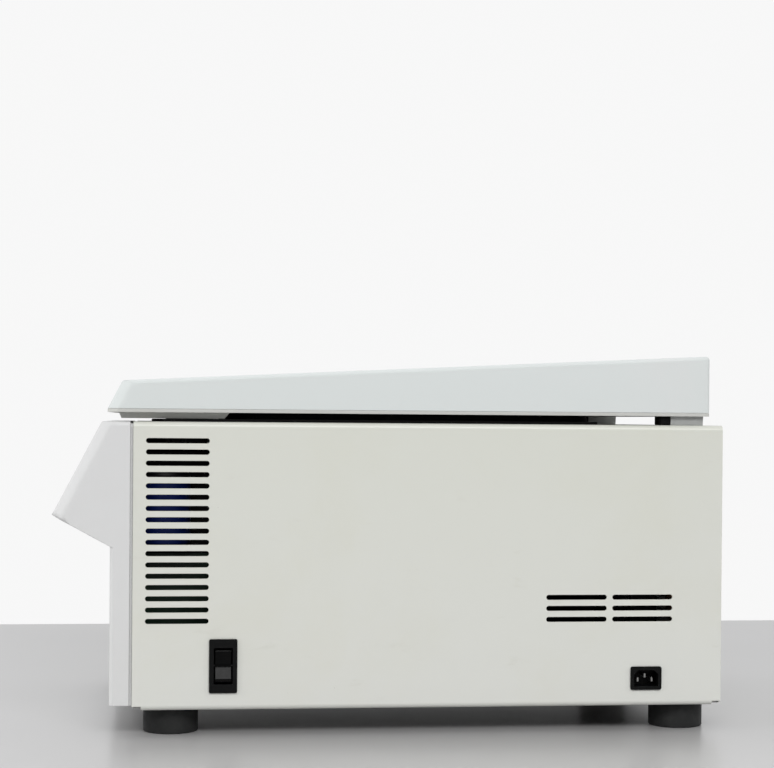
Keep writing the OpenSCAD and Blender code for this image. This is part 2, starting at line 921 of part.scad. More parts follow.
module evaporator_coil() {
    points = [for (i = [0:coil_rings], s = [0:coil_sides - 1]) coil_point(i, s)];
    walls = [for (i = [0:coil_rings - 1], s = [0:coil_sides - 1]) let (n = (s + 1) % coil_sides, r = i * coil_sides)
        [r + s, r + n, r + n + coil_sides, r + s + coil_sides]];
    first = [for (s = [coil_sides - 1:-1:0]) s];
    last = [for (s = [0:coil_sides - 1]) coil_rings * coil_sides + s];
    echo(least_gap_between_turns = coil_pitch - 2 * coil_r);
    color([0.72, 0.45, 0.3])
        translate([0, axis_y, 0])
            polyhedron(points, concat(walls, [first], [last]));
}

module bowl_insulation() {
    color([0.9, 0.88, 0.8])
        translate([0, axis_y, shelf_z + shelf_t])
            difference() {
                cylinder(r = foam_out, h = foam_top - shelf_z - shelf_t);
                translate([0, 0, -1])
                    cylinder(r = foam_in, h = foam_top);
                translate([pump_x, suction_end - axis_y - fit, stub_top + 30 + line_bend - shelf_z - shelf_t])
                    rotate([-90, 0, 0])
                        cylinder(r = line_r + fit, h = 60);
                translate([entry_x, liquid_end - axis_y - fit, drier_low + drier_h + 40 + line_bend - shelf_z - shelf_t])
                    rotate([-90, 0, 0])
                        cylinder(r = line_r + fit, h = 90);
            }
}

module chamber_shelf() {
    front = seam_y + 96;
    rear = axis_y + 166;
    x = inner_x - 4;
    color([0.7, 0.71, 0.72])
        difference() {
            union() {
                box([-x, front, shelf_z], [x, rear, shelf_z + shelf_t]);
                both_sides()
                    box([x - shelf_t, front + 20, floor_z], [x, rear - 60, shelf_z + shelf_t]);
                both_sides()
                    box([x - 20, front + 20, floor_z], [x, rear - 60, floor_z + shelf_t]);
            }
            translate([0, axis_y, shelf_z - 1])
                cylinder(r = motor_r + 12, h = shelf_t + 2);
        }
}

module shaft_boot() {
    low = motor_top + fit;
    high = bowl_floor - bowl_t;
    color([0.1, 0.1, 0.1])
        translate([0, axis_y, 0])
            rotate_extrude()
                polygon([[shaft_r + 5, low], [28, low], [28, low + 2.5], [22, low + 2.5], [22, low + 6],
                    [29, high - 2.5], [40, high - 2.5], [40, high], [25, high], [25, high - 2.5],
                    [shaft_r + 5, low + 6]]);
}

module motor_housing() {
    color([0.55, 0.57, 0.6])
        translate([0, axis_y, 0])
            difference() {
                union() {
                    translate([0, 0, motor_low])
                        cylinder(r = motor_r, h = motor_top - motor_low);
                    translate([0, 0, motor_flange_z])
                        cylinder(r = motor_flange_r, h = 6);
                }
                for (i = [0:23])
                    rotate([0, 0, 15 * i])
                        translate([motor_r, 0, motor_flange_z + 16])
                            cube([8, 5, 2 * (motor_top - motor_flange_z - 26)], center = true);
                translate([0, 0, motor_low + 6])
                    cylinder(r = shaft_r + 6, h = 200);
                for (z = [motor_low + 6, motor_top - bearing_h])
                    translate([0, 0, z])
                        cylinder(r = bearing_r + run, h = bearing_h + 1);
                at_damper_screws()
                    cylinder(r = screw_r + 1, h = 200, center = true);
            }
}

module at_damper_screws() {
    for (a = [90, 210, 330])
        translate([damper_at * cos(a), damper_at * sin(a), motor_flange_z])
            children();
}

module motor_bearings() {
    color([0.8, 0.8, 0.82])
        for (z = [motor_low + 6, motor_top - bearing_h])
            translate([0, axis_y, z])
                difference() {
                    cylinder(r = bearing_r, h = bearing_h);
                    translate([0, 0, -1])
                        cylinder(r = shaft_r + run, h = bearing_h + 2);
                }
}

module motor_dampers() {
    color([0.1, 0.1, 0.1])
        at_dampers()
            translate([0, 0, floor_z])
                rotate_extrude()
                    polygon([[0, 0], [damper_r, 0], [damper_r, 8], [damper_r - 2, 14], [damper_r - 2, 28],
                        [damper_r, 34], [damper_r, motor_flange_z - floor_z], [0, motor_flange_z - floor_z]]);
}

module drive_shaft() {
    color([0.78, 0.79, 0.8])
        translate([0, axis_y, 0]) {
            translate([0, 0, motor_low + 7])
                cylinder(r = shaft_r, h = knob_low + 5 - motor_low - 7);
            translate([0, 0, motor_top + 8])
                cylinder(r = shaft_r + 3, h = rotor_low - motor_top - 8);
            translate([0, 0, motor_low + 30])
                cylinder(r = shaft_r + 4, h = motor_top - motor_low - 60);
        }
}

module rotor() {
    rim = rotor_r;
    color([0.2, 0.22, 0.25])
        translate([0, axis_y, 0])
            difference() {
                rotate_extrude()
                    polygon([[shaft_r + run, rotor_low], [46, rotor_low], [rim - 6, rotor_low + 20],
                        [rim, rotor_low + 27], [rim, rotor_top - 10], [rim - 4, rotor_top - 4],
                        [rim - 12, rotor_top], [rim - 16, rotor_top], [58, rotor_top - 26],
                        [40, rotor_top - 26], [30, rotor_top], [shaft_r + run, rotor_top]]);
                for (i = [0:tube_count - 1])
                    rotate([0, 0, 360 * i / tube_count])
                        translate([72, 0, rotor_top - 16])
                            rotate([0, 45, 0])
                                translate([0, 0, -tube_depth])
                                    cylinder(r = tube_r, h = tube_depth + 20);
            }
}

module rotor_lid() {
    low = rotor_top + fit;
    color([0.6, 0.62, 0.65])
        translate([0, axis_y, 0])
            rotate_extrude()
                polygon([[shaft_r + 2, low], [rotor_r - 12, low], [rotor_r - 10, low + 3], [rotor_r - 20, low + 7],
                    [60, low + rotor_lid_h - 2], [shaft_r + 2, low + rotor_lid_h - 2 * fit]]);
}

module rotor_knob() {
    color([0.15, 0.16, 0.18])
        translate([0, axis_y, 0])
            difference() {
                rotate_extrude()
                    polygon([[0, knob_low], [20, knob_low], [20, knob_low + 10], [17, knob_low + 13], [0, knob_low + 13]]);
                translate([0, 0, knob_low - 1])
                    cylinder(r = shaft_r + run, h = 7);
                for (i = [0:11])
                    rotate([0, 0, 30 * i])
                        translate([22, 0, knob_low])
                            cylinder(r = 3.2, h = 40, center = true);
            }
}

module compressor() {
    r = pump_r;
    color([0.08, 0.08, 0.085])
        translate([pump_x, pump_y, 0]) {
            difference() {
                translate([0, 0, pump_low])
                    linear_extrude(3)
                        round_rect(104, 104, 12);
                for (sx = [-1, 1], sy = [-1, 1])
                    translate([sx * 40, sy * 40, pump_low - 1])
                        cylinder(r = 5.5, h = 5);
            }
            translate([0, 0, pump_low + 3])
                rotate_extrude()
                    polygon([[0, 0], [34, 0], [r - 14, 6], [r - 4, 18], [r - 3, 68], [r, 70], [r, 76], [r - 3, 78],
                        [r - 4, pump_h - 34], [r - 10, pump_h - 18], [r - 24, pump_h - 6], [0, pump_h]]);
            for (at = [[pump_out_x, line_y - pump_y], [0, -36]])
                translate([at[0], at[1], pump_low + pump_h - 16])
                    cylinder(r = 6, h = stub_top - pump_low - pump_h + 16);
        }
}

module compressor_grommets() {
    color([0.13, 0.13, 0.13])
        at_pump_feet()
            translate([0, 0, floor_z]) {
                cylinder(r = 9, h = pump_low - floor_z);
                cylinder(r = 5.3, h = pump_low - floor_z + 3);
                translate([0, 0, pump_low - floor_z + 3])
                    cylinder(r = 7.5, h = 3);
            }
}

module condenser() {
    fins = 24;
    step = cond_w / (fins + 1);
    color([0.7, 0.72, 0.74])
        translate([fan_x - cond_w / 2, cond_y, 0])
            union() {
                for (i = [1:fins])
                    box([i * step - 0.4, 0, cond_low], [i * step + 0.4, cond_d, cond_low + cond_h]);
                for (x = [0, cond_w])
                    box([x - 1, 0, floor_z], [x + 1, cond_d, cond_low + cond_h]);
                for (k = [0:5])
                    translate([-6, cond_d / 2, cond_low + 18 + k * 28])
                        rotate([0, 90, 0])
                            cylinder(r = 4, h = cond_w + 12);
            }
}

module fan_frame() {
    t = fan_frame_t;
    color([0.09, 0.09, 0.09])
        translate([fan_x, fan_y, fan_z])
            rotate([-90, 0, 0])
                difference() {
                    union() {
                        difference() {
                            linear_extrude(t)
                                round_rect(fan_frame_s, fan_frame_s, 6);
                            translate([0, 0, -1])
                                cylinder(r = fan_r + 1.5, h = t + 2);
                        }
                        for (a = [45, 135, 225, 315])
                            rotate([0, 0, a])
                                box([10, -3, t - 4], [fan_r + 3, 3, t]);
                        translate([0, 0, t - 8])
                            cylinder(r = 20, h = 8);
                    }
                    translate([0, 0, t - 9])
                        cylinder(r = 3 + run, h = 8);
                }
}

module fan_impeller() {
    t = fan_frame_t;
    color([0.12, 0.12, 0.125])
        translate([fan_x, fan_y, fan_z])
            rotate([-90, 0, 0]) {
                translate([0, 0, 2])
                    cylinder(r = 20, h = t - 11);
                translate([0, 0, 2])
                    cylinder(r = 3, h = t - 4);
                intersection() {
                    translate([0, 0, 1.5])
                        difference() {
                            cylinder(r = fan_r, h = t - 10.5);
                            translate([0, 0, -1])
                                cylinder(r = 18, h = t);
                        }
                    union()
                        for (i = [0:blade_count - 1])
                            rotate([0, 0, 360 * i / blade_count])
                                translate([42, 0, t / 2 - 2])
                                    rotate([38, 0, 0])
                                        cube([56, 28, 1.8], center = true);
                }
            }
}

// Bend of a tube that starts at the origin along +z and ends along +x
module elbow() {
    translate([line_bend, 0, 0])
        rotate([-90, 0, 0])
            rotate_extrude(angle = 90)
                translate([-line_bend, 0])
                    circle(line_r);
}

module discharge_line() {
    up = line_high - line_bend - stub_top;
    end = fan_x - cond_w / 2 - 6;
    start = pump_x + pump_out_x;
    translate([start, line_y, stub_top]) {
        cylinder(r = line_r, h = up);
        translate([0, 0, up])
            elbow();
        translate([line_bend, 0, up + line_bend])
            rotate([0, 90, 0])
                cylinder(r = line_r, h = end - start - line_bend);
    }
}

module suction_line() {
    up = 30;
    start = pump_y - 36;
    translate([pump_x, start, stub_top]) {
        cylinder(r = line_r, h = up);
        translate([0, 0, up])
            rotate([0, 0, -90])
                elbow();
        translate([0, -line_bend, up + line_bend])
            rotate([90, 0, 0])
                cylinder(r = line_r, h = start - line_bend - suction_end);
    }
}

module liquid_line() {
    low = cond_low + 18;
    start = fan_x + cond_w / 2 + 6;
    across_run = drier_x - entry_x - 2 * line_bend;
    translate([start, line_y, low])
        rotate([0, 90, 0])
            cylinder(r = line_r, h = drier_run);
    translate([start + drier_run, line_y, low])
        rotate(180, [1, 0, 1])
            elbow();
    translate([drier_x, line_y, low + line_bend])
        cylinder(r = line_r, h = drier_low - low - line_bend);
    translate([drier_x, line_y, drier_low + drier_h]) {
        cylinder(r = line_r, h = 40);
        translate([0, 0, 40])
            rotate([0, 0, 180])
                elbow();
        translate([-line_bend, 0, 40 + line_bend]) {
            rotate([0, -90, 0])
                cylinder(r = line_r, h = across_run);
            translate([-across_run, 0, 0])
                rotate([90, 0, -90])
                    elbow();
        }
    }
    translate([entry_x, line_y - line_bend, drier_low + drier_h + 40 + line_bend])
        rotate([90, 0, 0])
            cylinder(r = line_r, h = line_y - line_bend - liquid_end);
}

module refrigerant_lines() {
    color([0.72, 0.45, 0.3]) {
        discharge_line();
        suction_line();
        liquid_line();
    }
}

module filter_drier() {
    color([0.75, 0.52, 0.36])
        translate([drier_x, line_y, drier_low])
            rotate_extrude()
                polygon([[0, 0], [6, 0], [14, 14], [14, drier_h - 14], [6, drier_h], [0, drier_h]]);
}

module board_bracket() {
    x = bracket_wall;
    front = seam_y + lip_reach + 1;
    color([0.72, 0.73, 0.74]) {
        box([x, front, floor_z], [x + sheet, front + 70, z_top - 30]);
        box([x - 16, front, floor_z], [x + sheet, front + 70, floor_z + sheet]);
        box([x, can_y - can_d / 2 - 1 + 6, can_low - sheet], [can_x + can_d / 2 + 2, can_y + can_d / 2 + 1, can_low]);
    }
}

module drive_board() {
    x = bracket_wall + sheet;
    front = seam_y + lip_reach + 4;
    low = floor_z + 40;
    color([0.15, 0.38, 0.22]) {
        box([x + 5, front, low], [x + 6.6, front + 62, can_low - 12]);
        for (y = [front + 5, front + 57], z = [low + 5, can_low - 18])
            translate([x, y, z])
                rotate([0, 90, 0])
                    cylinder(r = 3, h = 5.5);
    }
}

module capacitor() {
    color([0.12, 0.25, 0.55])
        translate([can_x, can_y, can_low])
            rotate_extrude()
                polygon([[0, 0], [can_d / 2 - 2, 0], [can_d / 2, 2], [can_d / 2, can_h - 4], [can_d / 2 - 1.5, can_h - 2],
                    [can_d / 2 - 1.5, can_h], [can_d / 2 - 4, can_h], [can_d / 2 - 4, can_h - 2], [0, can_h - 2]]);
}

module mains_filter() {
    color([0.7, 0.71, 0.72])
        box([side_x - 95, inlet_y - 28, floor_z], [side_x - inlet_body_d - 12, inlet_y + 28, floor_z + filter_h]);
}

module bracket_outline() {
    polygon([[bracket_front, z_top], [bracket_rear - 1, z_top], [bracket_rear, hinge_z], [hinge_y - knuckle_r, hinge_z],
        [bracket_front, z_top + 9.5]]);
    translate([hinge_y, hinge_z])
        circle(knuckle_r);
}

module hinge_brackets() {
    color([0.62, 0.64, 0.65])
        both_sides()
            difference() {
                across(bracket_x, bracket_w)
                    bracket_outline();
                across(bracket_x, bracket_w + 2)
                    translate([hinge_y, hinge_z])
                        circle(pin_r + 0.02);
            }
}

module hinge_pins() {
    low = arm_x - arm_w / 2 - 1;
    high = bracket_x + bracket_w / 2;
    color([0.8, 0.8, 0.82])
        both_sides()
            across((low + high) / 2, high - low)
                translate([hinge_y, hinge_z])
                    circle(pin_r);
}

module hinge_arms() {
    color([0.6, 0.62, 0.64])
        both_sides()
            difference() {
                across(arm_x, arm_w) {
                    translate([hinge_y, hinge_z])
                        circle(knuckle_r);
                    polygon([[hinge_y - knuckle_r, hinge_z], [hinge_y + knuckle_r, hinge_z],
                        [hinge_y + knuckle_r, lid_top(hinge_y + knuckle_r) - lid_wall / cos(lid_pitch) - fit],
                        [hinge_y - knuckle_r - 14, lid_top(hinge_y - knuckle_r - 14) - lid_wall / cos(lid_pitch) - fit],
                        [hinge_y - knuckle_r - 14, hinge_z + 24]]);
                }
                across(arm_x, arm_w + 2)
                    translate([hinge_y, hinge_z])
                        circle(pin_r + run);
            }
}

module lid_buffers() {
    rear = bracket_front;
    color([0.06, 0.06, 0.06])
        both_sides()
            box([bracket_x - bracket_w / 2, rear - buffer_len, z_top], [bracket_x + bracket_w / 2, rear, z_top + 11]);
}

module latch_frame() {
    half = rail_s / 2 + fit;
    wall = 4;
    guide_x = 40;
    color([0.66, 0.67, 0.68]) {
        box([-60, rail_y - half - wall, z_top - 3], [60, rail_y + half + wall, z_top]);
        both_sides()
            difference() {
                box([guide_x - 6, rail_y - half - wall, eye_z - half - wall],
                    [guide_x + 6, rail_y + half + wall, z_top]);
                box([guide_x - 7, rail_y - half, eye_z - half], [guide_x + 7, rail_y + half, eye_z + half]);
            }
    }
}

module latch_bar() {
    half = rail_s / 2;
    color([0.78, 0.79, 0.8]) {
        box([-hook_x - 20, rail_y - half, eye_z - half], [hook_x - 16, rail_y + half, eye_z + half]);
        for (x = [hook_x - hook_t / 2 - 2, -hook_x - hook_t / 2 - 2]) {
            box([x - 16, hook_y - half, eye_z - half], [x - 12, rail_y + half, eye_z + half]);
            translate([x - 12, hook_y, eye_z])
                rotate([0, 90, 0])
                    cylinder(r = latch_pin_r, h = 12);
        }
    }
}

module lid_hooks() {
    color([0.78, 0.79, 0.8])
        for (s = [-1, 1])
            difference() {
                box([s * hook_x - hook_t / 2, hook_y - hook_len / 2, pad_low - hook_drop],
                    [s * hook_x + hook_t / 2, hook_y + hook_len / 2, pad_low]);
                box([s * hook_x - hook_t, hook_y - eye_half, eye_z - eye_half],
                    [s * hook_x + hook_t, hook_y + eye_half, eye_z + eye_half]);
            }
}

module feet() {
    h = floor_z - base_t;
    r = foot_d / 2;
    color([0.2, 0.2, 0.21])
        at_feet()
            rotate_extrude()
                polygon([[7, 4], [7, 0], [r - foot_edge, 0], [r, foot_edge], [r, h], [screw_r + run, h],
                    [screw_r + run, 6], [7, 6]]);
}

module foot_screws() {
    color([0.7, 0.7, 0.72])
        at_feet() {
            translate([0, 0, 3])
                cylinder(r = 5, h = 3);
            translate([0, 0, 6])
                cylinder(r = screw_r, h = floor_z);
        }
}

module lid_hull() {
    q = edge_r;
    drop = z_lid - 30;
    front = inset(lid_brow, 180 + lid_slope, 360 + lid_pitch, q);
    rear = inset(lid_heel, 180 + lid_pitch, 270, q);
    intersection() {
        hull() {
            for (s = [-1, 1]) {
                translate([s * (side_x - q), front[0], front[1]])
                    sphere(q, $fn = hull_fn);
                translate([s * (side_x - q), front[0] - (front[1] - drop) / tan(lid_slope), drop])
                    sphere(q, $fn = hull_fn);
                translate([s * (side_x - q), rear[0], rear[1]])
                    sphere(q, $fn = hull_fn);
                translate([s * (side_x - q), rear[0], drop])
                    sphere(q, $fn = hull_fn);
            }
        }
        on_lid_face()
            behind_face(0);
    }
}

module lid_inside() {
    w = lid_wall;
    brow_in = inset(lid_brow, 180 + lid_slope, 360 + lid_pitch, w);
    intersection() {
        across(0, body_w - 2 * w)
            polygon([[brow_in[0] - (brow_in[1] - z_lid + 20) / tan(lid_slope), z_lid - 20], brow_in,
                [lid_rear_y - w, lid_top(lid_rear_y - w) - w / cos(lid_pitch)], [lid_rear_y - w, z_lid - 20]]);
        on_lid_face()
            behind_face(w);
    }
}

module sight_bore(r, low, high) {
    translate([0, axis_y, low])
        cylinder(r = r, h = high - low);
}

module hinge_notches() {
    both_sides()
        box([bracket_x - bracket_w / 2 - 3, lid_rear_y - 12, z_lid - 1],
            [bracket_x + bracket_w / 2 + 2, lid_rear_y + 5, hinge_z + 15]);
}

module lid_shell() {
    color([0.83, 0.85, 0.86])
        difference() {
            lid_hull();
            lid_inside();
            box([-body_w, lid_front_y - 60, z_lid - 60], [body_w, lid_rear_y + 20, shell_low]);
            hinge_notches();
            sight_bore(sight_d / 2 + fit, z_lid, z_lid + 100);
        }
}

module lid_liner() {
    pocket_x = collar_w / 2 + 4;
    pocket_y = collar_len / 2 + 4;
    wall = roof_t;
    color([0.8, 0.8, 0.75]) {
        across(0, 2 * pocket_x)
            polygon([[pad_front, z_lid], [pad_front + pad_draft, pad_low], [pad_rear - 2 * pad_draft, pad_low],
                [pad_rear, z_lid]]);
        difference() {
            union() {
                intersection() {
                    lid_hull();
                    box([-body_w, lid_front_y, z_lid], [body_w, lid_rear_y + 20, shell_low - rim_gap]);
                }
                translate([0, axis_y, z_lid])
                    linear_extrude(roof_z + roof_t - z_lid)
                        round_rect(2 * (pocket_x + wall), 2 * (pocket_y + wall), collar_r + 4 + wall);
            }
            translate([0, axis_y, z_lid - 1])
                linear_extrude(roof_z - z_lid + 1)
                    round_rect(2 * pocket_x, 2 * pocket_y, collar_r + 4);
            both_sides()
                box([arm_x - arm_w / 2 - 3, pocket_front, z_lid - 1],
                    [bracket_x + bracket_w / 2 + 2, lid_rear_y + 5, shell_low + 1]);
            sight_bore(sight_d / 2 + fit, z_lid, roof_z + 10);
        }
    }
}

module lid_window() {
    low = roof_z;
    high = lid_top(axis_y);
    color([0.75, 0.82, 0.85])
        sight_bore(sight_d / 2, low, high);
}

base_plate();
right_panel();
left_panel();
rear_panel();
rear_top_cover();
front_cover();
control_panel();
display_window();
control_board();
switch_frame();
power_rocker();
inlet_socket();
inlet_pins();
top_deck();
chamber_seal();
rotor_bowl();
evaporator_coil();
bowl_insulation();
chamber_shelf();
shaft_boot();
motor_housing();
motor_bearings();
motor_dampers();
drive_shaft();
rotor();
rotor_lid();
rotor_knob();
compressor();
compressor_grommets();
condenser();
fan_frame();
fan_impeller();
refrigerant_lines();
filter_drier();
board_bracket();
drive_board();
capacitor();
mains_filter();
hinge_brackets();
hinge_pins();
lid_buffers();
latch_frame();
latch_bar();
feet();
foot_screws();
rear_screws();
lid_shell();
lid_liner();
lid_hooks();
hinge_arms();
lid_window();
for (k = KEYS)
    key_cap(k);
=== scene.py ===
import json
import math

import bmesh
import bpy
from mathutils import Matrix, Vector, noise


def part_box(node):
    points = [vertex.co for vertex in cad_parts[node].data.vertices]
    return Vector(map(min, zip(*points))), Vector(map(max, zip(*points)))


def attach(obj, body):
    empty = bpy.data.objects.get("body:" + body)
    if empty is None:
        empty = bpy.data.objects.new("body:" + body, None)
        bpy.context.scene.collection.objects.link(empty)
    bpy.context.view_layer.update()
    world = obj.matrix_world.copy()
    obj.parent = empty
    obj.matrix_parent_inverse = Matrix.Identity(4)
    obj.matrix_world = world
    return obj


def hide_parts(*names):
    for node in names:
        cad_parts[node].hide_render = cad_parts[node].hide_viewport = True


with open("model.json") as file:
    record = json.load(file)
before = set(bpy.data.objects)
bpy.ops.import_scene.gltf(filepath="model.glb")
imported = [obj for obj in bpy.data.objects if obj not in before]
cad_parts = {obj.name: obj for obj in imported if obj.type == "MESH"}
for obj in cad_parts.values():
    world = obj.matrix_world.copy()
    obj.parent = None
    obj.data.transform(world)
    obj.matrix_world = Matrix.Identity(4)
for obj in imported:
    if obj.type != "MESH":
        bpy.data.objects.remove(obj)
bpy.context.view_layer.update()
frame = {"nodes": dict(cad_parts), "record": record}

scene = bpy.context.scene
scene.view_settings.view_transform = "Standard"


# Studio: a pale worktop that ends behind the object, in front of a white wall; the room behind the
# camera is dim. Soft lights hang over the bench, above the camera, on the nose side and at the back.
def plain_mesh(name, verts, faces):
    mesh = bpy.data.meshes.new(name)
    mesh.from_pydata([tuple(v) for v in verts], [], faces)
    mesh.update()
    obj = bpy.data.objects.new(name, mesh)
    scene.collection.objects.link(obj)
    return obj


def add_node(tree, kind, links=None, **settings):
    node = tree.nodes.new(kind)
    for key, value in settings.items():
        setattr(node, key, value)
    for socket, source in (links or {}).items():
        if hasattr(source, "node"):
            tree.links.new(source, node.inputs[socket])
        else:
            node.inputs[socket].default_value = source
    return node


def mix_colour(tree, mask, low, high, blend="MIX"):
    node = add_node(tree, "ShaderNodeMix", data_type="RGBA", blend_type=blend)
    for index, source in ((0, mask), (6, low), (7, high)):
        if hasattr(source, "node"):
            tree.links.new(source, node.inputs[index])
        else:
            node.inputs[index].default_value = source if index == 0 else (*source[:3], 1)
    return node.outputs[2]


def ramp(tree, value, low, high, bottom=0.0, top=1.0, soft=False):
    """A value that goes from bottom to top while the given one goes from low to high."""
    node = add_node(tree, "ShaderNodeMapRange", {
        "Value": value, "From Min": low, "From Max": high, "To Min": bottom, "To Max": top},
        interpolation_type="SMOOTHSTEP" if soft else "LINEAR")
    return node.outputs["Result"]


def sums(tree, operation, *terms):
    return add_node(tree, "ShaderNodeMath", dict(enumerate(terms)), operation=operation).outputs[0]


def clouds(tree, place, scale, detail, rough=0.5, bend=0.0):
    """Noise over a place, as values about a half."""
    node = add_node(tree, "ShaderNodeTexNoise", {
        "Vector": place, "Scale": scale, "Detail": detail, "Roughness": rough, "Distortion": bend})
    return node.outputs["Fac"]


def new_finish(name):
    mat = bpy.data.materials.new(name)
    mat.use_nodes = True
    return mat, mat.node_tree, mat.node_tree.nodes["Principled BSDF"]


def place_in(tree):
    """Object coordinates, from the one node that each finish has for them."""
    if "Texture Coordinate" not in tree.nodes:
        add_node(tree, "ShaderNodeTexCoord")
    return tree.nodes["Texture Coordinate"].outputs["Object"]


worktop_back = -0.80
worktop_reach = 3.0
worktop_edge = -0.04
worktop = plain_mesh("worktop", [
    (worktop_back, -worktop_reach, 0), (worktop_reach, -worktop_reach, 0), (worktop_reach, worktop_reach, 0),
    (worktop_back, worktop_reach, 0), (worktop_back, -worktop_reach, worktop_edge),
    (worktop_back, worktop_reach, worktop_edge)], [(0, 1, 2, 3), (0, 3, 5, 4)])
mat, tree, shader = new_finish("worktop_finish")
tree.links.new(mix_colour(tree, clouds(tree, place_in(tree), 2.5, 3.0), (0.445, 0.44, 0.44), (0.495, 0.49, 0.49)),
               shader.inputs["Base Color"])
shader.inputs["Roughness"].default_value = 0.3
shader.inputs["IOR"].default_value = 1.6
worktop.data.materials.append(mat)

world = bpy.data.worlds.new("white_room")
scene.world = world
world.use_nodes = True
tree = world.node_tree
rays = add_node(tree, "ShaderNodeLightPath")
seen = sums(tree, "MAXIMUM", rays.outputs["Is Camera Ray"], rays.outputs["Is Transmission Ray"])
looking = add_node(tree, "ShaderNodeSeparateXYZ", {"Vector": place_in(tree)})
wall = ramp(tree, looking.outputs["X"], 0.55, -0.55, soft=True)
room = mix_colour(tree, wall, (0.27, 0.272, 0.275), (0.90, 0.905, 0.91))
tree.links.new(mix_colour(tree, seen, room, (0.935, 0.935, 0.935)), tree.nodes["Background"].inputs["Color"])


def soft_light(name, width, height, power, place, target):
    lamp = bpy.data.lights.new(name, "AREA")
    lamp.shape = "RECTANGLE"
    lamp.size = width
    lamp.size_y = height
    lamp.energy = power
    obj = bpy.data.objects.new(name, lamp)
    obj.location = place
    obj.rotation_euler = (Vector(target) - Vector(place)).to_track_quat("-Z", "Y").to_euler()
    scene.collection.objects.link(obj)
    return obj


soft_light("bench_light", 2.6, 1.6, 3, (0.0, -0.1, 2.2), (0, 0, 0.1))
soft_light("front_light", 2.4, 0.8, 50, (2.6, 0.2, 1.75), (0.1, 0.0, 0.15))
soft_light("nose_light", 2.6, 2.2, 33, (0.5, -2.5, 1.3), (0, 0, 0.2)).visible_glossy = False
soft_light("rear_light", 1.4, 1.2, 6, (0.9, 2.5, 0.7), (0, 0.2, 0.3))

camera_data = bpy.data.cameras.new("camera")
camera_data.sensor_fit = "HORIZONTAL"
camera_data.sensor_width = 36
camera_data.lens = 87.73
camera_data.shift_y = 0.06388
camera = bpy.data.objects.new("camera", camera_data)
stand = Vector((1.9917, -0.2256, 0.3025))
yaw, pitch, roll = math.radians(6.9273), math.radians(-0.4222), math.radians(0.4454)
ahead = Vector((-math.cos(yaw) * math.cos(pitch), math.sin(yaw) * math.cos(pitch), math.sin(pitch)))
level = ahead.cross(Vector((0, 0, 1))).normalized()
upright = level.cross(ahead)
right = level * math.cos(roll) + upright * math.sin(roll)
up = upright * math.cos(roll) - level * math.sin(roll)
camera.matrix_world = Matrix([(right[i], up[i], -ahead[i], stand[i]) for i in range(3)] + [(0, 0, 0, 1)])
scene.collection.objects.link(camera)
scene.camera = camera


# Feet: four plain round rubber blocks moulded in dark grey, each held to the base by a screw in a
# recess. The rubber is dull, lighter in patches and rubbed at its edges.
def group_tree(name, inputs, outputs):
    tree = bpy.data.node_groups.new(name, "ShaderNodeTree")
    for label, kind, value in inputs:
        socket = tree.interface.new_socket(label, in_out="INPUT", socket_type=kind)
        if value is not None:
            socket.default_value = value
    for label, kind in outputs:
        tree.interface.new_socket(label, in_out="OUTPUT", socket_type=kind)
    return tree, tree.nodes.new("NodeGroupInput"), tree.nodes.new("NodeGroupOutput")


FLOAT, VECTOR = "NodeSocketFloat", "NodeSocketVector"

# Fine surface grain of moulded and coated skins: two sizes of noise, as a height and a tone.
grain_group, given, result = group_tree(
    "surface_grain", [("Vector", VECTOR, None), ("Grains", FLOAT, 1200.0)], [("Height", FLOAT), ("Tone", FLOAT)])
grains = given.outputs["Grains"]
coarse = clouds(grain_group, given.outputs["Vector"], grains, 2.0, 0.55)
rolling = clouds(grain_group, given.outputs["Vector"], sums(grain_group, "MULTIPLY", grains, 0.11), 3.0)
grain_group.links.new(sums(grain_group, "MULTIPLY_ADD", rolling, 0.35, coarse), result.inputs["Height"])
grain_group.links.new(rolling, result.inputs["Tone"])

# Slow patches of ageing and handling, as a mask with soft borders.
patch_group, given, result = group_tree(
    "handling_patches", [("Vector", VECTOR, None), ("Patches", FLOAT, 9.0), ("From", FLOAT, 0.45),
                         ("To", FLOAT, 0.75)],
    [("Mask", FLOAT)])
drift = clouds(patch_group, given.outputs["Vector"], given.outputs["Patches"], 5.0, 0.6, 0.4)
aged = ramp(patch_group, drift, given.outputs["From"], given.outputs["To"], soft=True)
patch_group.links.new(aged, result.inputs["Mask"])

# Rubbed outer edges: where a rounded normal turns away from the true one, broken up by noise. On the rocker the
# lighter edge colour is a painted highlight.
edge_wear_and_sheen_group, given, result = group_tree(
    "rubbed_and_sheen_edges", [("Vector", VECTOR, None), ("Reach", FLOAT, 0.0012), ("Chips", FLOAT, 260.0)],
    [("Mask", FLOAT)])
rounded = add_node(edge_wear_and_sheen_group, "ShaderNodeBevel", {"Radius": given.outputs["Reach"]}, samples=4)
facing = add_node(edge_wear_and_sheen_group, "ShaderNodeNewGeometry")
turn = add_node(edge_wear_and_sheen_group, "ShaderNodeVectorMath", {0: rounded.outputs["Normal"], 1: facing.outputs["Normal"]},
                operation="DOT_PRODUCT")
rim = ramp(edge_wear_and_sheen_group, turn.outputs["Value"], 0.995, 0.85)
worn = ramp(edge_wear_and_sheen_group, clouds(edge_wear_and_sheen_group, given.outputs["Vector"], given.outputs["Chips"], 4.0), 0.42, 0.62)
edge_wear_and_sheen_group.links.new(sums(edge_wear_and_sheen_group, "MULTIPLY", rim, worn), result.inputs["Mask"])

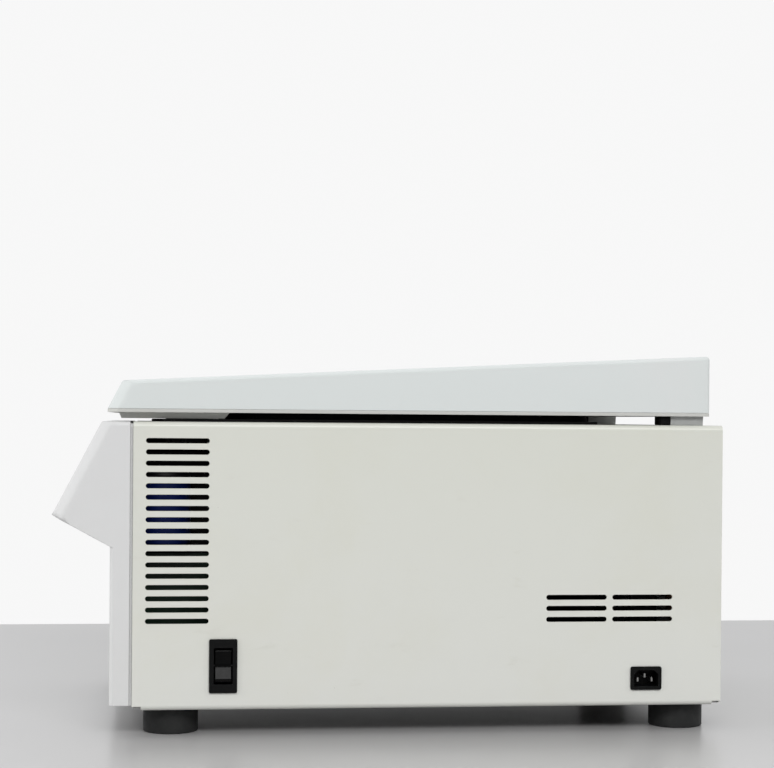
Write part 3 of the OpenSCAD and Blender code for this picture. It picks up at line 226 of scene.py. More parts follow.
# Dust that settles on faces that look up, thicker in patches.
dust_group, given, result = group_tree(
    "settled_dust", [("Vector", VECTOR, None), ("Specks", FLOAT, 60.0)], [("Mask", FLOAT)])
facing = add_node(dust_group, "ShaderNodeNewGeometry")
lift = add_node(dust_group, "ShaderNodeSeparateXYZ", {"Vector": facing.outputs["Normal"]})
flat = ramp(dust_group, lift.outputs["Z"], 0.35, 0.95)
specks = clouds(dust_group, given.outputs["Vector"], given.outputs["Specks"], 6.0, 0.65)
thick = ramp(dust_group, specks, 0.35, 0.75)
dust_group.links.new(sums(dust_group, "MULTIPLY", flat, thick), result.inputs["Mask"])

# A mask over a band of height, from a low height up to a high one: on skins it lays painted shade on the upper
# part, on the capacitor its dark ring.
height_band_group, given, result = group_tree(
    "height_band", [("Vector", VECTOR, None), ("Low", FLOAT, 0.05), ("High", FLOAT, 0.30)], [("Mask", FLOAT)])
rise = add_node(height_band_group, "ShaderNodeSeparateXYZ", {"Vector": given.outputs["Vector"]})
band_mask = ramp(height_band_group, rise.outputs["Z"], given.outputs["Low"], given.outputs["High"])
height_band_group.links.new(band_mask, result.inputs["Mask"])

# Painted shade in seams and inside corners: darker where little of the open room is in reach.
crevice_shade_group, given, result = group_tree("crevice_painted_shade", [("Reach", FLOAT, 0.004)], [("Mask", FLOAT)])
open_room = add_node(crevice_shade_group, "ShaderNodeAmbientOcclusion", {"Distance": given.outputs["Reach"]}, samples=6)
deep = ramp(crevice_shade_group, open_room.outputs["AO"], 0.62, 0.22, top=0.9, soft=True)
crevice_shade_group.links.new(deep, result.inputs["Mask"])


def place_group(tree, group, links):
    return add_node(tree, "ShaderNodeGroup", links, node_tree=group)


def skin(name, colour, aged, rough, spread=0.08, grains=1200, depth=0.00003, patches=9, edges=None,
         edge_reach=0.0012, dust=None, crevice_shade=None, top_shade=None, metallic=0.0, specular=0.5):
    """A moulded, coated or cast skin: its colour drifts to the aged one, with grain, wear, dust and painted shade.
    """
    mat, tree, shader = new_finish(name)
    place = place_in(tree)
    grain = place_group(tree, grain_group, {"Vector": place, "Grains": grains})
    patch = place_group(tree, patch_group, {"Vector": place, "Patches": patches})
    tint = mix_colour(tree, patch.outputs["Mask"], colour, aged)
    if edges:
        edge_mark = place_group(tree, edge_wear_and_sheen_group, {"Vector": place, "Reach": edge_reach})
        tint = mix_colour(tree, edge_mark.outputs["Mask"], tint, edges)
    if dust:
        film = place_group(tree, dust_group, {"Vector": place})
        tint = mix_colour(tree, film.outputs["Mask"], tint, dust)
    if top_shade:
        above = place_group(tree, height_band_group, {"Vector": place})
        tint = mix_colour(tree, above.outputs["Mask"], tint, top_shade, "MULTIPLY")
    if crevice_shade:
        seams = place_group(tree, crevice_shade_group, {})
        tint = mix_colour(tree, seams.outputs["Mask"], tint, crevice_shade)
    tree.links.new(tint, shader.inputs["Base Color"])
    gloss = ramp(tree, grain.outputs["Tone"], 0.3, 0.7, rough - spread, rough + spread)
    tree.links.new(gloss, shader.inputs["Roughness"])
    bump = add_node(tree, "ShaderNodeBump", {"Height": grain.outputs["Height"], "Distance": depth, "Strength": 1.0})
    tree.links.new(bump.outputs["Normal"], shader.inputs["Normal"])
    shader.inputs["Metallic"].default_value = metallic
    shader.inputs["Specular IOR Level"].default_value = specular
    return mat


BODY_OF = {node: body for body, nodes in frame["record"]["behaviour"]["bodies"].items() for node in nodes}


def finish_node(name, mat):
    node = frame["nodes"][name]
    node.data.materials.clear()
    node.data.materials.append(mat)


def merged_copy(name):
    """The node's mesh with its loose triangles joined and its flat faces made whole."""
    bm = bmesh.new()
    bm.from_mesh(frame["nodes"][name].data)
    bmesh.ops.remove_doubles(bm, verts=bm.verts, dist=2e-6)
    bmesh.ops.dissolve_limit(bm, angle_limit=math.radians(0.5), verts=bm.verts, edges=bm.edges)
    return bm


def as_piece(name, bm, mat):
    mesh = bpy.data.meshes.new(name)
    bm.to_mesh(mesh)
    bm.free()
    mesh.materials.clear()
    mesh.materials.append(mat)
    obj = bpy.data.objects.new(name, mesh)
    scene.collection.objects.link(obj)
    return obj


def settle(obj):
    """Turns what the modifiers make into the piece's own plain mesh."""
    made = bpy.data.meshes.new_from_object(obj.evaluated_get(bpy.context.evaluated_depsgraph_get()))
    obj.modifiers.clear()
    obj.data = made
    return obj


def softened(name, mat, edge, steps=2, crease=35):
    """Stands for a CAD node with its sharp edges rounded as moulding, bending or deburring leaves them."""
    obj = as_piece(name + "_piece", merged_copy(name), mat)
    obj.data.shade_smooth()
    bevel = obj.modifiers.new("edges", "BEVEL")
    bevel.width = edge
    bevel.segments = steps
    bevel.limit_method = "ANGLE"
    bevel.angle_limit = math.radians(crease)
    obj.modifiers.new("shading", "WEIGHTED_NORMAL").keep_sharp = True
    settle(obj)
    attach(obj, BODY_OF[name])
    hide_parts(name)
    return obj


foot_finish = skin("foot_rubber", (0.016, 0.0165, 0.0165), (0.026, 0.027, 0.026), 0.62, grains=900, depth=0.00004,
                   patches=40, edges=(0.045, 0.045, 0.043), edge_reach=0.002, specular=0.28)
softened("feet", foot_finish, 0.0004, 2)
zinc_finish = skin("zinc_plate", (0.50, 0.51, 0.52), (0.38, 0.385, 0.38), 0.36, 0.1, grains=700, depth=0.000012,
                   patches=30, metallic=1.0)
finish_node("foot_screws", zinc_finish)


# Base plate: one folded tray of steel sheet that carries everything else, coloured black as painted shade
# under the object. It was cut after coating, so its long edges are bare, and their pale band is also
# painted light where an edge shows in a notch of the side panel. Other sheet pieces inside are
# coloured black as painted shade inside the housing.
interior_shade_finish = skin("interior_painted_shade", (0.014, 0.014, 0.0145), (0.022, 0.022, 0.021), 0.5, 0.1, grains=700,
                      depth=0.000012, patches=30, metallic=0.4, specular=0.2)
plate_shade_finish = skin("plate_painted_shade", (0.014, 0.014, 0.0145), (0.022, 0.022, 0.021), 0.5, 0.1, grains=700,
                    depth=0.000012, patches=30, metallic=0.4, specular=0.2)


def paint_over(mat, mask, colour):
    """Lays one more colour over a finish where the mask is 1."""
    tree = mat.node_tree
    painted = tree.nodes["Principled BSDF"].inputs["Base Color"]
    tree.links.new(mix_colour(tree, mask, painted.links[0].from_socket, colour), painted)


# Pale band along the plate's long edges: bare cut steel, and painted light where an edge shows in a notch.
tree = plate_shade_finish.node_tree
plate_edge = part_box("base_plate")[1].x
sideways = add_node(tree, "ShaderNodeSeparateXYZ", {"Vector": place_in(tree)})
pale_edge = ramp(tree, sums(tree, "ABSOLUTE", sideways.outputs["X"]), plate_edge - 0.0006, plate_edge - 0.0003)
paint_over(plate_shade_finish, pale_edge, (0.50, 0.50, 0.49))
softened("base_plate", plate_shade_finish, 0.0002, 1)


# Side panels, rear panel and rear top cover: folded steel sheet with a fine warm grey powder coat.
# The paint is slightly yellowed in patches and along its folds, and the vent slots are punched through.
def powder_coat(name, colour, aged, scuffed):
    # Painted shade darkens seams and slot edges, and darkens the upper part with a slight yellow tint.
    mat = skin(name, colour, aged, 0.36, 0.05, grains=1500, depth=0.00002, patches=5, edges=scuffed,
               edge_reach=0.0008, crevice_shade=(0.16, 0.155, 0.14), top_shade=(0.915, 0.92, 0.888))
    tree = mat.node_tree
    place = place_in(tree)
    smears = add_node(tree, "ShaderNodeMapping", {"Vector": place, "Scale": (1.0, 1.0, 3.2)})
    marks = place_group(tree, patch_group, {
        "Vector": smears.outputs["Vector"], "Patches": 21.0, "From": 0.60, "To": 0.82})
    paint_over(mat, marks.outputs["Mask"], tuple(0.93 * c for c in aged))
    fleck = add_node(tree, "ShaderNodeTexVoronoi", {"Vector": place, "Scale": 95.0})
    speck = ramp(tree, fleck.outputs["Distance"], 0.055, 0.03)
    some = ramp(tree, clouds(tree, place, 13.0, 2.0), 0.6, 0.68, top=0.5)
    paint_over(mat, sums(tree, "MULTIPLY", speck, some), (0.30, 0.29, 0.25))
    return mat


panel_finish = powder_coat("panel_paint", (0.732, 0.738, 0.697), (0.716, 0.718, 0.656), (0.66, 0.65, 0.56))
for name in ("right_panel", "left_panel", "rear_panel", "rear_top_cover"):
    softened(name, panel_finish, 0.00035, 2)


# Shade sheet: a sheet of black open-cell foam glued to the inside of the left panel over its front vents,
# a dark sheet standing as painted shade for the inside seen through the vents. Its cut edges are pressed
# thinner than its middle and its face is slightly uneven.
def thicken(bm, faces, offset):
    """Gives faces a thickness by an offset and returns the corners of the moved side."""
    moved = bmesh.ops.extrude_face_region(bm, geom=faces)["geom"]
    corners = [v for v in moved if isinstance(v, bmesh.types.BMVert)]
    bmesh.ops.translate(bm, vec=offset, verts=corners)
    return corners


shade_sheet_finish = skin("shade_sheet_foam", (0.007, 0.007, 0.0072), (0.011, 0.011, 0.0105), 0.85, 0.05, grains=620,
                depth=0.0005, patches=70, specular=0.1)
mat_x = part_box("left_panel")[0].x + 0.0016
mat_y, mat_z = (-0.2395, -0.1740), (0.1050, 0.2880)
mat_thick, mat_edge, mat_swell = 0.003, 0.0025, 0.08
bm = bmesh.new()
bmesh.ops.create_grid(bm, x_segments=26, y_segments=72, size=0.5)
for v in bm.verts:
    y = mat_y[0] + (v.co.x + 0.5) * (mat_y[1] - mat_y[0])
    z = mat_z[0] + (v.co.y + 0.5) * (mat_z[1] - mat_z[0])
    inner = min(y - mat_y[0], mat_y[1] - y, z - mat_z[0], mat_z[1] - z)
    swell = 1 - 0.5 * math.exp(-inner / mat_edge) + mat_swell * noise.noise(Vector((0, y, z)) * 160)
    v.co = (mat_x + mat_thick * swell, y, z)
for v in thicken(bm, bm.faces[:], (0, 0, 0)):
    v.co.x = mat_x
bmesh.ops.recalc_face_normals(bm, faces=bm.faces)
vent_mat = as_piece("vent_mat", bm, shade_sheet_finish)
vent_mat.data.shade_smooth()
vent_mat.data.set_sharp_from_angle(angle=math.radians(40))
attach(vent_mat, "housing")


# Rear panel screws: zinc-plated pan-head screws with a cross recess, pressed down on the fold.
# Their heads repeat at the holes of the rear panel.
def islands(name):
    """Middle and size of each separate solid of a CAD node."""
    bm = bmesh.new()
    bm.from_mesh(frame["nodes"][name].data)
    bmesh.ops.remove_doubles(bm, verts=bm.verts, dist=2e-6)
    left, found = set(bm.verts), []
    while left:
        todo, part = [left.pop()], []
        while todo:
            v = todo.pop()
            part.append(v.co.copy())
            for e in v.link_edges:
                other = e.other_vert(v)
                if other in left:
                    left.remove(other)
                    todo.append(other)
        low = Vector([min(c[i] for c in part) for i in range(3)])
        high = Vector([max(c[i] for c in part) for i in range(3)])
        found.append((low, high))
    bm.free()
    return sorted(found, key=lambda b: tuple(b[0]))


def node_tree(name, inputs):
    tree = bpy.data.node_groups.new(name, "GeometryNodeTree")
    tree.interface.new_socket("Geometry", in_out="INPUT", socket_type="NodeSocketGeometry")
    for label, kind in inputs:
        tree.interface.new_socket(label, in_out="INPUT", socket_type=kind)
    tree.interface.new_socket("Geometry", in_out="OUTPUT", socket_type="NodeSocketGeometry")
    return tree, tree.nodes.new("NodeGroupInput"), tree.nodes.new("NodeGroupOutput")


def close_tree(tree, result, given, geometry):
    """Ends a tree in plain geometry with the piece's finish on it."""
    real = add_node(tree, "GeometryNodeRealizeInstances", {"Geometry": geometry})
    coat = add_node(tree, "GeometryNodeSetMaterial", {
        "Geometry": real.outputs[0], "Material": given.outputs["Finish"]})
    tree.links.new(coat.outputs[0], result.inputs["Geometry"])


def grow(obj, tree, values):
    """Runs a tree on an object with these named values and keeps the result as its plain mesh."""
    modifier = obj.modifiers.new(tree.name, "NODES")
    modifier.node_group = tree
    for item in tree.interface.items_tree:
        if item.in_out == "INPUT" and item.name in values:
            modifier[item.identifier] = values[item.name]
    return settle(obj)


screw_tree, given, result = node_tree("screws_on_points", [
    ("Screw", "NodeSocketObject"), ("Turn", "NodeSocketFloat"), ("Finish", "NodeSocketMaterial")])
screw_shape = add_node(screw_tree, "GeometryNodeObjectInfo", {"Object": given.outputs["Screw"]})
spin = add_node(screw_tree, "FunctionNodeRandomValue", {2: 0.0, 3: given.outputs["Turn"], "Seed": 4},
                data_type="FLOAT")
spin_axis = add_node(screw_tree, "ShaderNodeCombineXYZ", {"Y": spin.outputs[1]})
heads = add_node(screw_tree, "GeometryNodeInstanceOnPoints", {
    "Points": given.outputs["Geometry"], "Instance": screw_shape.outputs["Geometry"],
    "Rotation": spin_axis.outputs[0]})
close_tree(screw_tree, result, given, heads.outputs[0])

sites = islands("rear_screws")
head_r = (sites[0][1].x - sites[0][0].x) / 2
head_out = sites[0][1].y
shank_in = sites[0][0].y
panel_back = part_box("rear_panel")[1].y
head_h = head_out - panel_back
dome = [(0, head_h), (0.55 * head_r, 0.96 * head_h), (0.86 * head_r, 0.72 * head_h), (head_r, 0.3 * head_h),
        (head_r, 0), (0.5 * head_r, 0), (0.5 * head_r, shank_in - panel_back), (0, shank_in - panel_back)]
bm = bmesh.new()
rail = [bm.verts.new((r, y, 0)) for r, y in dome]
profile = [bm.edges.new(pair) for pair in zip(rail, rail[1:])]
bmesh.ops.spin(bm, geom=rail + profile, cent=(0, 0, 0), axis=(0, 1, 0), angle=2 * math.pi, steps=24)
bmesh.ops.remove_doubles(bm, verts=bm.verts, dist=1e-6)
bmesh.ops.recalc_face_normals(bm, faces=bm.faces)
screw = as_piece("rear_screw_shape", bm, zinc_finish)
bm = bmesh.new()
for size in ((1.25, 0.26), (0.26, 1.25)):
    bmesh.ops.create_cube(bm, size=1, matrix=Matrix.Translation((0, head_h, 0)) @ Matrix.Diagonal(
        (size[0] * head_r, 1.1 * head_h, size[1] * head_r, 1)))
cross = as_piece("rear_screw_recess", bm, zinc_finish)
recess = screw.modifiers.new("recess", "BOOLEAN")
recess.object = cross
recess.use_self = True
settle(screw)
bpy.data.objects.remove(cross)
rear_screws = plain_mesh("rear_screws_piece", [((low.x + high.x) / 2, panel_back, (low.z + high.z) / 2)
                                               for low, high in sites], [])
grow(rear_screws, screw_tree, {"Screw": screw, "Turn": 1.5, "Finish": zinc_finish})
bpy.data.objects.remove(screw)
rear_screws.data.shade_smooth()
rear_screws.data.set_sharp_from_angle(angle=math.radians(32))
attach(rear_screws, "housing")
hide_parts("rear_screws")


# Front cover: one moulding in cool light grey plastic with a wedge nose that carries the controls
# and a plain apron below. It hooks behind the side panels with an open seam.
def ease_edges(mat, low_front, tilt, foot):
    """Shades a moulding's edges as rounded, widely along its tilted front face and finely elsewhere."""
    fine, wide = 0.0012, 0.0075
    fine_depth, wide_depth = 0.020, 0.013
    foot_radius, foot_gain = 0.0006, 0.8
    tree = mat.node_tree
    outward = Vector((0, -math.sin(tilt), math.cos(tilt)))
    level = Vector(low_front).dot(outward)
    ahead = add_node(tree, "ShaderNodeVectorMath", {0: place_in(tree), 1: outward}, operation="DOT_PRODUCT")
    radius = ramp(tree, ahead.outputs["Value"], level - fine_depth, level - wide_depth, fine, wide)
    rise = add_node(tree, "ShaderNodeSeparateXYZ", {"Vector": place_in(tree)})
    limit = sums(tree, "MULTIPLY_ADD", rise.outputs["Z"], foot_gain, foot_radius - foot_gain * foot)
    rounded = add_node(tree, "ShaderNodeBevel", {"Radius": sums(tree, "MINIMUM", radius, limit)}, samples=8)
    tree.links.new(rounded.outputs["Normal"], tree.nodes["Bump"].inputs["Normal"])


# Painted shade darkens the seam and the upper part of the cover.
cover_finish = skin("cover_plastic", (0.718, 0.720, 0.717), (0.703, 0.704, 0.696), 0.5, 0.07, grains=2100,
                    depth=0.00003, patches=6, edges=(0.70, 0.70, 0.69), edge_reach=0.0015,
                    crevice_shade=(0.13, 0.13, 0.125), top_shade=(0.925, 0.925, 0.93))
slope = math.radians(62.5)
slope_up = Vector((0, math.cos(slope), math.sin(slope)))
slope_out = Vector((0, -math.sin(slope), math.cos(slope)))
plate_low, plate_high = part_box("control_panel")
face_mid = (plate_low + plate_high) / 2 + 0.001 * slope_out
ease_edges(cover_finish, face_mid, slope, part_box("front_cover")[0].z)
softened("front_cover", cover_finish, 0.0007, 3, 28)


# Control panel: a plate with a printed film on the slope of the nose, with a smoked window over the
# display and holes for eight keys. Thin printed lines frame the window and the groups of keys.
film_finish = skin("panel_film", (0.085, 0.105, 0.135), (0.10, 0.12, 0.15), 0.4, 0.05, grains=2600, depth=0.00001,
                   patches=14, edges=(0.16, 0.18, 0.2), edge_reach=0.0006, specular=0.4)
softened("control_panel", film_finish, 0.0002, 1)
window_finish = skin("display_cover", (0.010, 0.013, 0.015), (0.014, 0.018, 0.020), 0.12, 0.03, grains=300,
                     depth=0.000002, patches=25)
softened("display_window", window_finish, 0.0002, 2)
print_finish = skin("printed_ink", (0.62, 0.64, 0.65), (0.55, 0.57, 0.58), 0.5, grains=2600, depth=0.00001,
                    patches=60)
ghost_finish = skin("unlit_segments", (0.030, 0.026, 0.024), (0.036, 0.030, 0.028), 0.3, grains=900, depth=0.000004,
                    patches=60)


def on_slope(x, y, z):
    return face_mid + Vector((x, 0, 0)) * 0.001 + slope_up * (y * 0.001) + slope_out * (z * 0.001)


def printed(name, outlines, low, thick, mat, body):
    """Ink or film printed on the slope: flat outlines in millimetres, as thin as paint."""
    bm = bmesh.new()
    for outline in outlines:
        base = [bm.verts.new(on_slope(x, y, low)) for x, y in outline]
        top = [bm.verts.new(on_slope(x, y, low + thick)) for x, y in outline]
        count = len(outline)
        bm.faces.new(top)
        bm.faces.new(base[::-1])
        for i in range(count):
            j = (i + 1) % count
            bm.faces.new((base[i], base[j], top[j], top[i]))
    bmesh.ops.recalc_face_normals(bm, faces=bm.faces)
    obj = as_piece(name, bm, mat)
    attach(obj, body)
    return obj


def bar(x, y, w, h):
    return [(x - w / 2, y - h / 2), (x + w / 2, y - h / 2), (x + w / 2, y + h / 2), (x - w / 2, y + h / 2)]


def frame_lines(x, y, w, h, line):
    return [bar(x, y + h / 2, w + line, line), bar(x, y - h / 2, w + line, line),
            bar(x - w / 2, y, line, h - line), bar(x + w / 2, y, line, h - line)]


window_x, window_y, window_w, window_h, key_row = -58, 14, 146, 32, -21
panel_lines = frame_lines(window_x, window_y, window_w + 6, window_h + 6, 0.6)
for x, w in ((-94, 92), (-7, 62), (56, 32)):
    panel_lines += [bar(x, key_row + 10.5, w, 0.5), bar(x, key_row - 10.5, w, 0.5)]
panel_lines += frame_lines(120, -2.5, 46, 62, 0.6)
for x in (-124, -94, -64):
    panel_lines.append(bar(x, window_y - window_h / 2 - 6, 5, 0.9))
printed("panel_print", panel_lines, -0.01, 0.05, print_finish, "housing")


def segment_digit(x, y, w, h, t):
    """Seven bars with pointed ends, as a display shows them."""
    half = h / 2

    def flat_bar(cy):
        return [(x - w / 2 + t, cy - t / 2), (x + w / 2 - t, cy - t / 2), (x + w / 2 - t / 2, cy),
                (x + w / 2 - t, cy + t / 2), (x - w / 2 + t, cy + t / 2), (x - w / 2 + t / 2, cy)]

    def tall_bar(cx, cy):
        return [(cx - t / 2, cy - half / 2 + t * 0.75), (cx, cy - half / 2 + t * 0.3),
                (cx + t / 2, cy - half / 2 + t * 0.75), (cx + t / 2, cy + half / 2 - t * 0.75),
                (cx, cy + half / 2 - t * 0.3), (cx - t / 2, cy + half / 2 - t * 0.75)]

    return [flat_bar(y - half), flat_bar(y), flat_bar(y + half)] + [
        tall_bar(x + sx * (w / 2 - t / 2), y + sy * half / 2) for sx in (-1, 1) for sy in (-1, 1)]


segments = []
for first, count in ((-118, 3), (-72, 4), (-16, 3)):
    for i in range(count):
        segments += segment_digit(first + 11 * i, window_y, 8, 15, 1.5)
printed("display_segments", segments, -0.42, 0.04, ghost_finish, "housing")


# Keys: eight short travel push keys moulded in light grey, with a green start key and a red stop
# key. Each carries one plain printed sign and presses on a switch of the control board.
def ring(x, y, r, line, count=28):
    turn = [2 * math.pi * i / count for i in range(count + 1)]
    return [[(x + r * math.cos(a), y + r * math.sin(a)), (x + r * math.cos(b), y + r * math.sin(b)),
             (x + (r - line) * math.cos(b), y + (r - line) * math.sin(b)),
             (x + (r - line) * math.cos(a), y + (r - line) * math.sin(a))] for a, b in zip(turn, turn[1:])]


def sign(kind, x, y):
    if kind == "clock":
        return ring(x, y, 3.6, 0.7) + [bar(x, y + 1.1, 0.7, 2.6), bar(x + 0.9, y - 0.1, 2.1, 0.7)]
    if kind == "speed":
        return [[(x + d - 1.2, y - 2.6), (x + d, y - 2.6), (x + d + 1.6, y), (x + d, y + 2.6),
                 (x + d - 1.2, y + 2.6), (x + d + 0.4, y)] for d in (-2.4, 0.6)]
    if kind == "warmth":
        return ring(x, y - 2.2, 1.6, 0.7) + [bar(x - 0.7, y + 1.6, 0.6, 4.6), bar(x + 0.7, y + 1.6, 0.6, 4.6),
                                             bar(x, y + 4.0, 2.0, 0.6)]
    if kind == "down":
        return [[(x - 3.2, y + 2), (x, y - 3), (x + 3.2, y + 2)]]
    if kind == "up":
        return [[(x - 3.2, y - 2), (x + 3.2, y - 2), (x, y + 3)]]
    if kind == "lid":
        return [bar(x, y - 2.6, 8, 0.8),
                [(x + 4, y - 1.6), (x + 3.6, y - 0.9), (x - 3.6, y + 2.9), (x - 3.9, y + 2.3)]]
    if kind == "start":
        return [[(x - 2.6, y - 3.4), (x + 3.6, y), (x - 2.6, y + 3.4)]]
    return [bar(x, y, 5.6, 5.6)]


key_finish = skin("key_plastic", (0.66, 0.67, 0.66), (0.60, 0.605, 0.585), 0.48, grains=2400, depth=0.00002,
                  patches=50, edges=(0.72, 0.72, 0.70), edge_reach=0.0008)
green_finish = skin("start_key_plastic", (0.10, 0.34, 0.16), (0.085, 0.29, 0.14), 0.45, grains=2400, depth=0.00002,
                    patches=50, edges=(0.16, 0.42, 0.22), edge_reach=0.0008)
red_finish = skin("stop_key_plastic", (0.52, 0.055, 0.045), (0.45, 0.048, 0.042), 0.45, grains=2400, depth=0.00002,
                  patches=50, edges=(0.6, 0.1, 0.08), edge_reach=0.0008)
dark_ink = skin("key_ink", (0.05, 0.055, 0.06), (0.07, 0.075, 0.08), 0.5, grains=2600, depth=0.00001, patches=80)
key_top = 1.2
for name, x, y, kind, mat, ink in (
        ("key_time", -124, key_row, "clock", key_finish, dark_ink),
        ("key_speed", -94, key_row, "speed", key_finish, dark_ink),
        ("key_temp", -64, key_row, "warmth", key_finish, dark_ink),
        ("key_down", -22, key_row, "down", key_finish, dark_ink),
        ("key_up", 8, key_row, "up", key_finish, dark_ink),
        ("key_lid", 56, key_row, "lid", key_finish, dark_ink),
        ("key_start", 120, 16, "start", green_finish, print_finish),
        ("key_stop", 120, key_row, "stop", red_finish, print_finish)):
    softened(name, mat, 0.0006, 3)
    printed(name + "_sign", sign(kind, x, y), key_top - 0.02, 0.06, ink, name)
board_finish = skin("circuit_board", (0.006, 0.030, 0.014), (0.010, 0.040, 0.018), 0.4, grains=500, depth=0.00002,
                    patches=220)
finish_node("control_board", board_finish)


# Mains switch: a black snap-in frame moulded in dull plastic, with a glossy rocker tilted to off so
# that its lower half stands proud. It clicks into a cut-out of the side panel.
black_finish = skin("black_plastic", (0.0040, 0.0043, 0.0044), (0.006, 0.006, 0.006), 0.42, 0.08, grains=1800,
                    depth=0.00002, patches=35, edges=(0.02, 0.02, 0.021), edge_reach=0.0009, specular=0.12)
# The rocker's lighter edge colour is a painted highlight along its rims.
gloss_finish = skin("rocker_plastic", (0.0025, 0.0026, 0.0027), (0.004, 0.004, 0.004), 0.16, 0.03, grains=2200,
                    depth=0.000006, patches=60, edges=(0.012, 0.012, 0.0125), edge_reach=0.0006, specular=0.075)
softened("switch_frame", black_finish, 0.0006, 3)


def rounded_outline(corners, steps=10):
    """Points of a closed outline whose corners, each an across, an up and a radius, are rounded."""
    points = []
    for i, (a, b, r) in enumerate(corners):
        here = Vector((a, b))
        back = (Vector(corners[i - 1][:2]) - here).normalized()
        onward = (Vector(corners[(i + 1) % len(corners)][:2]) - here).normalized()
        half = back.angle(onward) / 2
        centre = here + (back + onward).normalized() * r / math.sin(half)
        first = here + back * r / math.tan(half) - centre
        last = here + onward * r / math.tan(half) - centre
        for k in range(steps + 1):
            points.append(centre + first.slerp(last, k / steps).normalized() * r)
    return points


rocker_mid, rocker_w = -0.1625, 0.0154
pivot, stub_r, stub_w = (0.1925, 0.067), 0.0018, 0.0204
rocker_corners = [(0.18240, 0.08040, 0.0010), (0.19447, 0.08360, 0.0025), (0.19447, 0.06735, 0.0140),
                  (0.20012, 0.05181, 0.0029), (0.18750, 0.05090, 0.0010)]
bm = bmesh.new()
side = bm.faces.new([bm.verts.new((p.x, rocker_mid - rocker_w / 2, p.y)) for p in rounded_outline(rocker_corners)])
thicken(bm, [side], (0, rocker_w, 0))
across = Matrix.Translation((pivot[0], rocker_mid, pivot[1])) @ Matrix.Rotation(math.pi / 2, 4, "X")
bmesh.ops.create_cone(bm, cap_ends=True, segments=24, radius1=stub_r, radius2=stub_r, depth=stub_w, matrix=across)
bmesh.ops.recalc_face_normals(bm, faces=bm.faces)
rocker = as_piece("power_rocker_piece", bm, gloss_finish)
rocker.data.shade_smooth()
trim = rocker.modifiers.new("edges", "BEVEL")
trim.width = 0.0005
trim.segments = 3
trim.limit_method = "ANGLE"
trim.angle_limit = math.radians(50)
rocker.modifiers.new("shading", "WEIGHTED_NORMAL").keep_sharp = True
settle(rocker)
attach(rocker, "rocker")
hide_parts("power_rocker")


# Mains inlet: a black moulded socket let into the side panel, with three plated contact blades in
# its recess. Its flange covers the edge of the cut-out.
softened("inlet_socket", black_finish, 0.0005, 2)
blade_finish = skin("plated_blades", (0.36, 0.36, 0.355), (0.28, 0.275, 0.26), 0.4, grains=900, depth=0.000006,
                    patches=200, metallic=1.0)
softened("inlet_pins", blade_finish, 0.0003, 2)


# Chamber top: a black moulded deck with a raised collar, a rubber seal on it and slots for the
# lid hooks. Dust lies on the flat parts.
deck_finish = skin("deck_plastic", (0.0030, 0.0031, 0.0032), (0.0045, 0.0045, 0.0045), 0.5, grains=1500,
                   depth=0.00003, patches=20, edges=(0.006, 0.006, 0.006), edge_reach=0.001,
                   dust=(0.02, 0.02, 0.019), specular=0.06)
softened("top_deck", deck_finish, 0.0008, 2)
seal_finish = skin("seal_rubber", (0.010, 0.010, 0.010), (0.018, 0.018, 0.017), 0.55, grains=1100, depth=0.00003,
                   patches=60, dust=(0.04, 0.04, 0.038), specular=0.3)
softened("chamber_seal", seal_finish, 0.0012, 3)


# Pad strip: a thin black felt strip glued flat on the deck behind the hook slots, on which the pad
# under the lid closes. Its ends are cut round.
strip_x, strip_y, strip_r = 0.176, (-0.1955, -0.1675), 0.006
strip_low, strip_high = 0.30160, 0.30192
outline = []
for sx, sy, start in ((1, 1, 0), (-1, 1, 90), (-1, -1, 180), (1, -1, 270)):
    centre = (sx * (strip_x - strip_r), (strip_y[1] - strip_r) if sy > 0 else (strip_y[0] + strip_r))
    for step in range(7):
        turn = math.radians(start + 15 * step)
        outline.append((centre[0] + strip_r * math.cos(turn), centre[1] + strip_r * math.sin(turn)))
bm = bmesh.new()
base = bm.faces.new([bm.verts.new((x, y, strip_low)) for x, y in outline])
thicken(bm, [base], (0, 0, strip_high - strip_low))
bmesh.ops.recalc_face_normals(bm, faces=bm.faces)
felt_finish = skin("black_felt", (0.006, 0.006, 0.0062), (0.009, 0.009, 0.009), 0.9, 0.05, grains=2400,
                   depth=0.0001, patches=60, specular=0.05)
pad_strip = as_piece("pad_strip", bm, felt_finish)
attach(pad_strip, "housing")


# Rotor bowl: deep-drawn stainless steel with spinning marks round the axis, with a cooling tube
# wound on it, a block of foam round that and a folded shelf below.

# Turning and spinning marks: fine rings round an upright axis, as a height and a tone.
turned_group, given, result = group_tree(
    "turned_rings", [("Vector", VECTOR, None), ("Rings", FLOAT, 900.0)], [("Height", FLOAT), ("Tone", FLOAT)])
parts = add_node(turned_group, "ShaderNodeSeparateXYZ", {"Vector": given.outputs["Vector"]})
across = add_node(turned_group, "ShaderNodeCombineXYZ", {"X": parts.outputs["X"], "Y": parts.outputs["Y"]})
radius = add_node(turned_group, "ShaderNodeVectorMath", {0: across.outputs[0]}, operation="LENGTH")
around = sums(turned_group, "ARCTAN2", parts.outputs["Y"], parts.outputs["X"])
swept = add_node(turned_group, "ShaderNodeCombineXYZ", {
    "X": radius.outputs["Value"], "Y": sums(turned_group, "MULTIPLY", around, 0.0012), "Z": parts.outputs["Z"]})
rings = clouds(turned_group, swept.outputs[0], given.outputs["Rings"], 3.0, 0.65)
turned_group.links.new(rings, result.inputs["Height"])
turned_group.links.new(rings, result.inputs["Tone"])


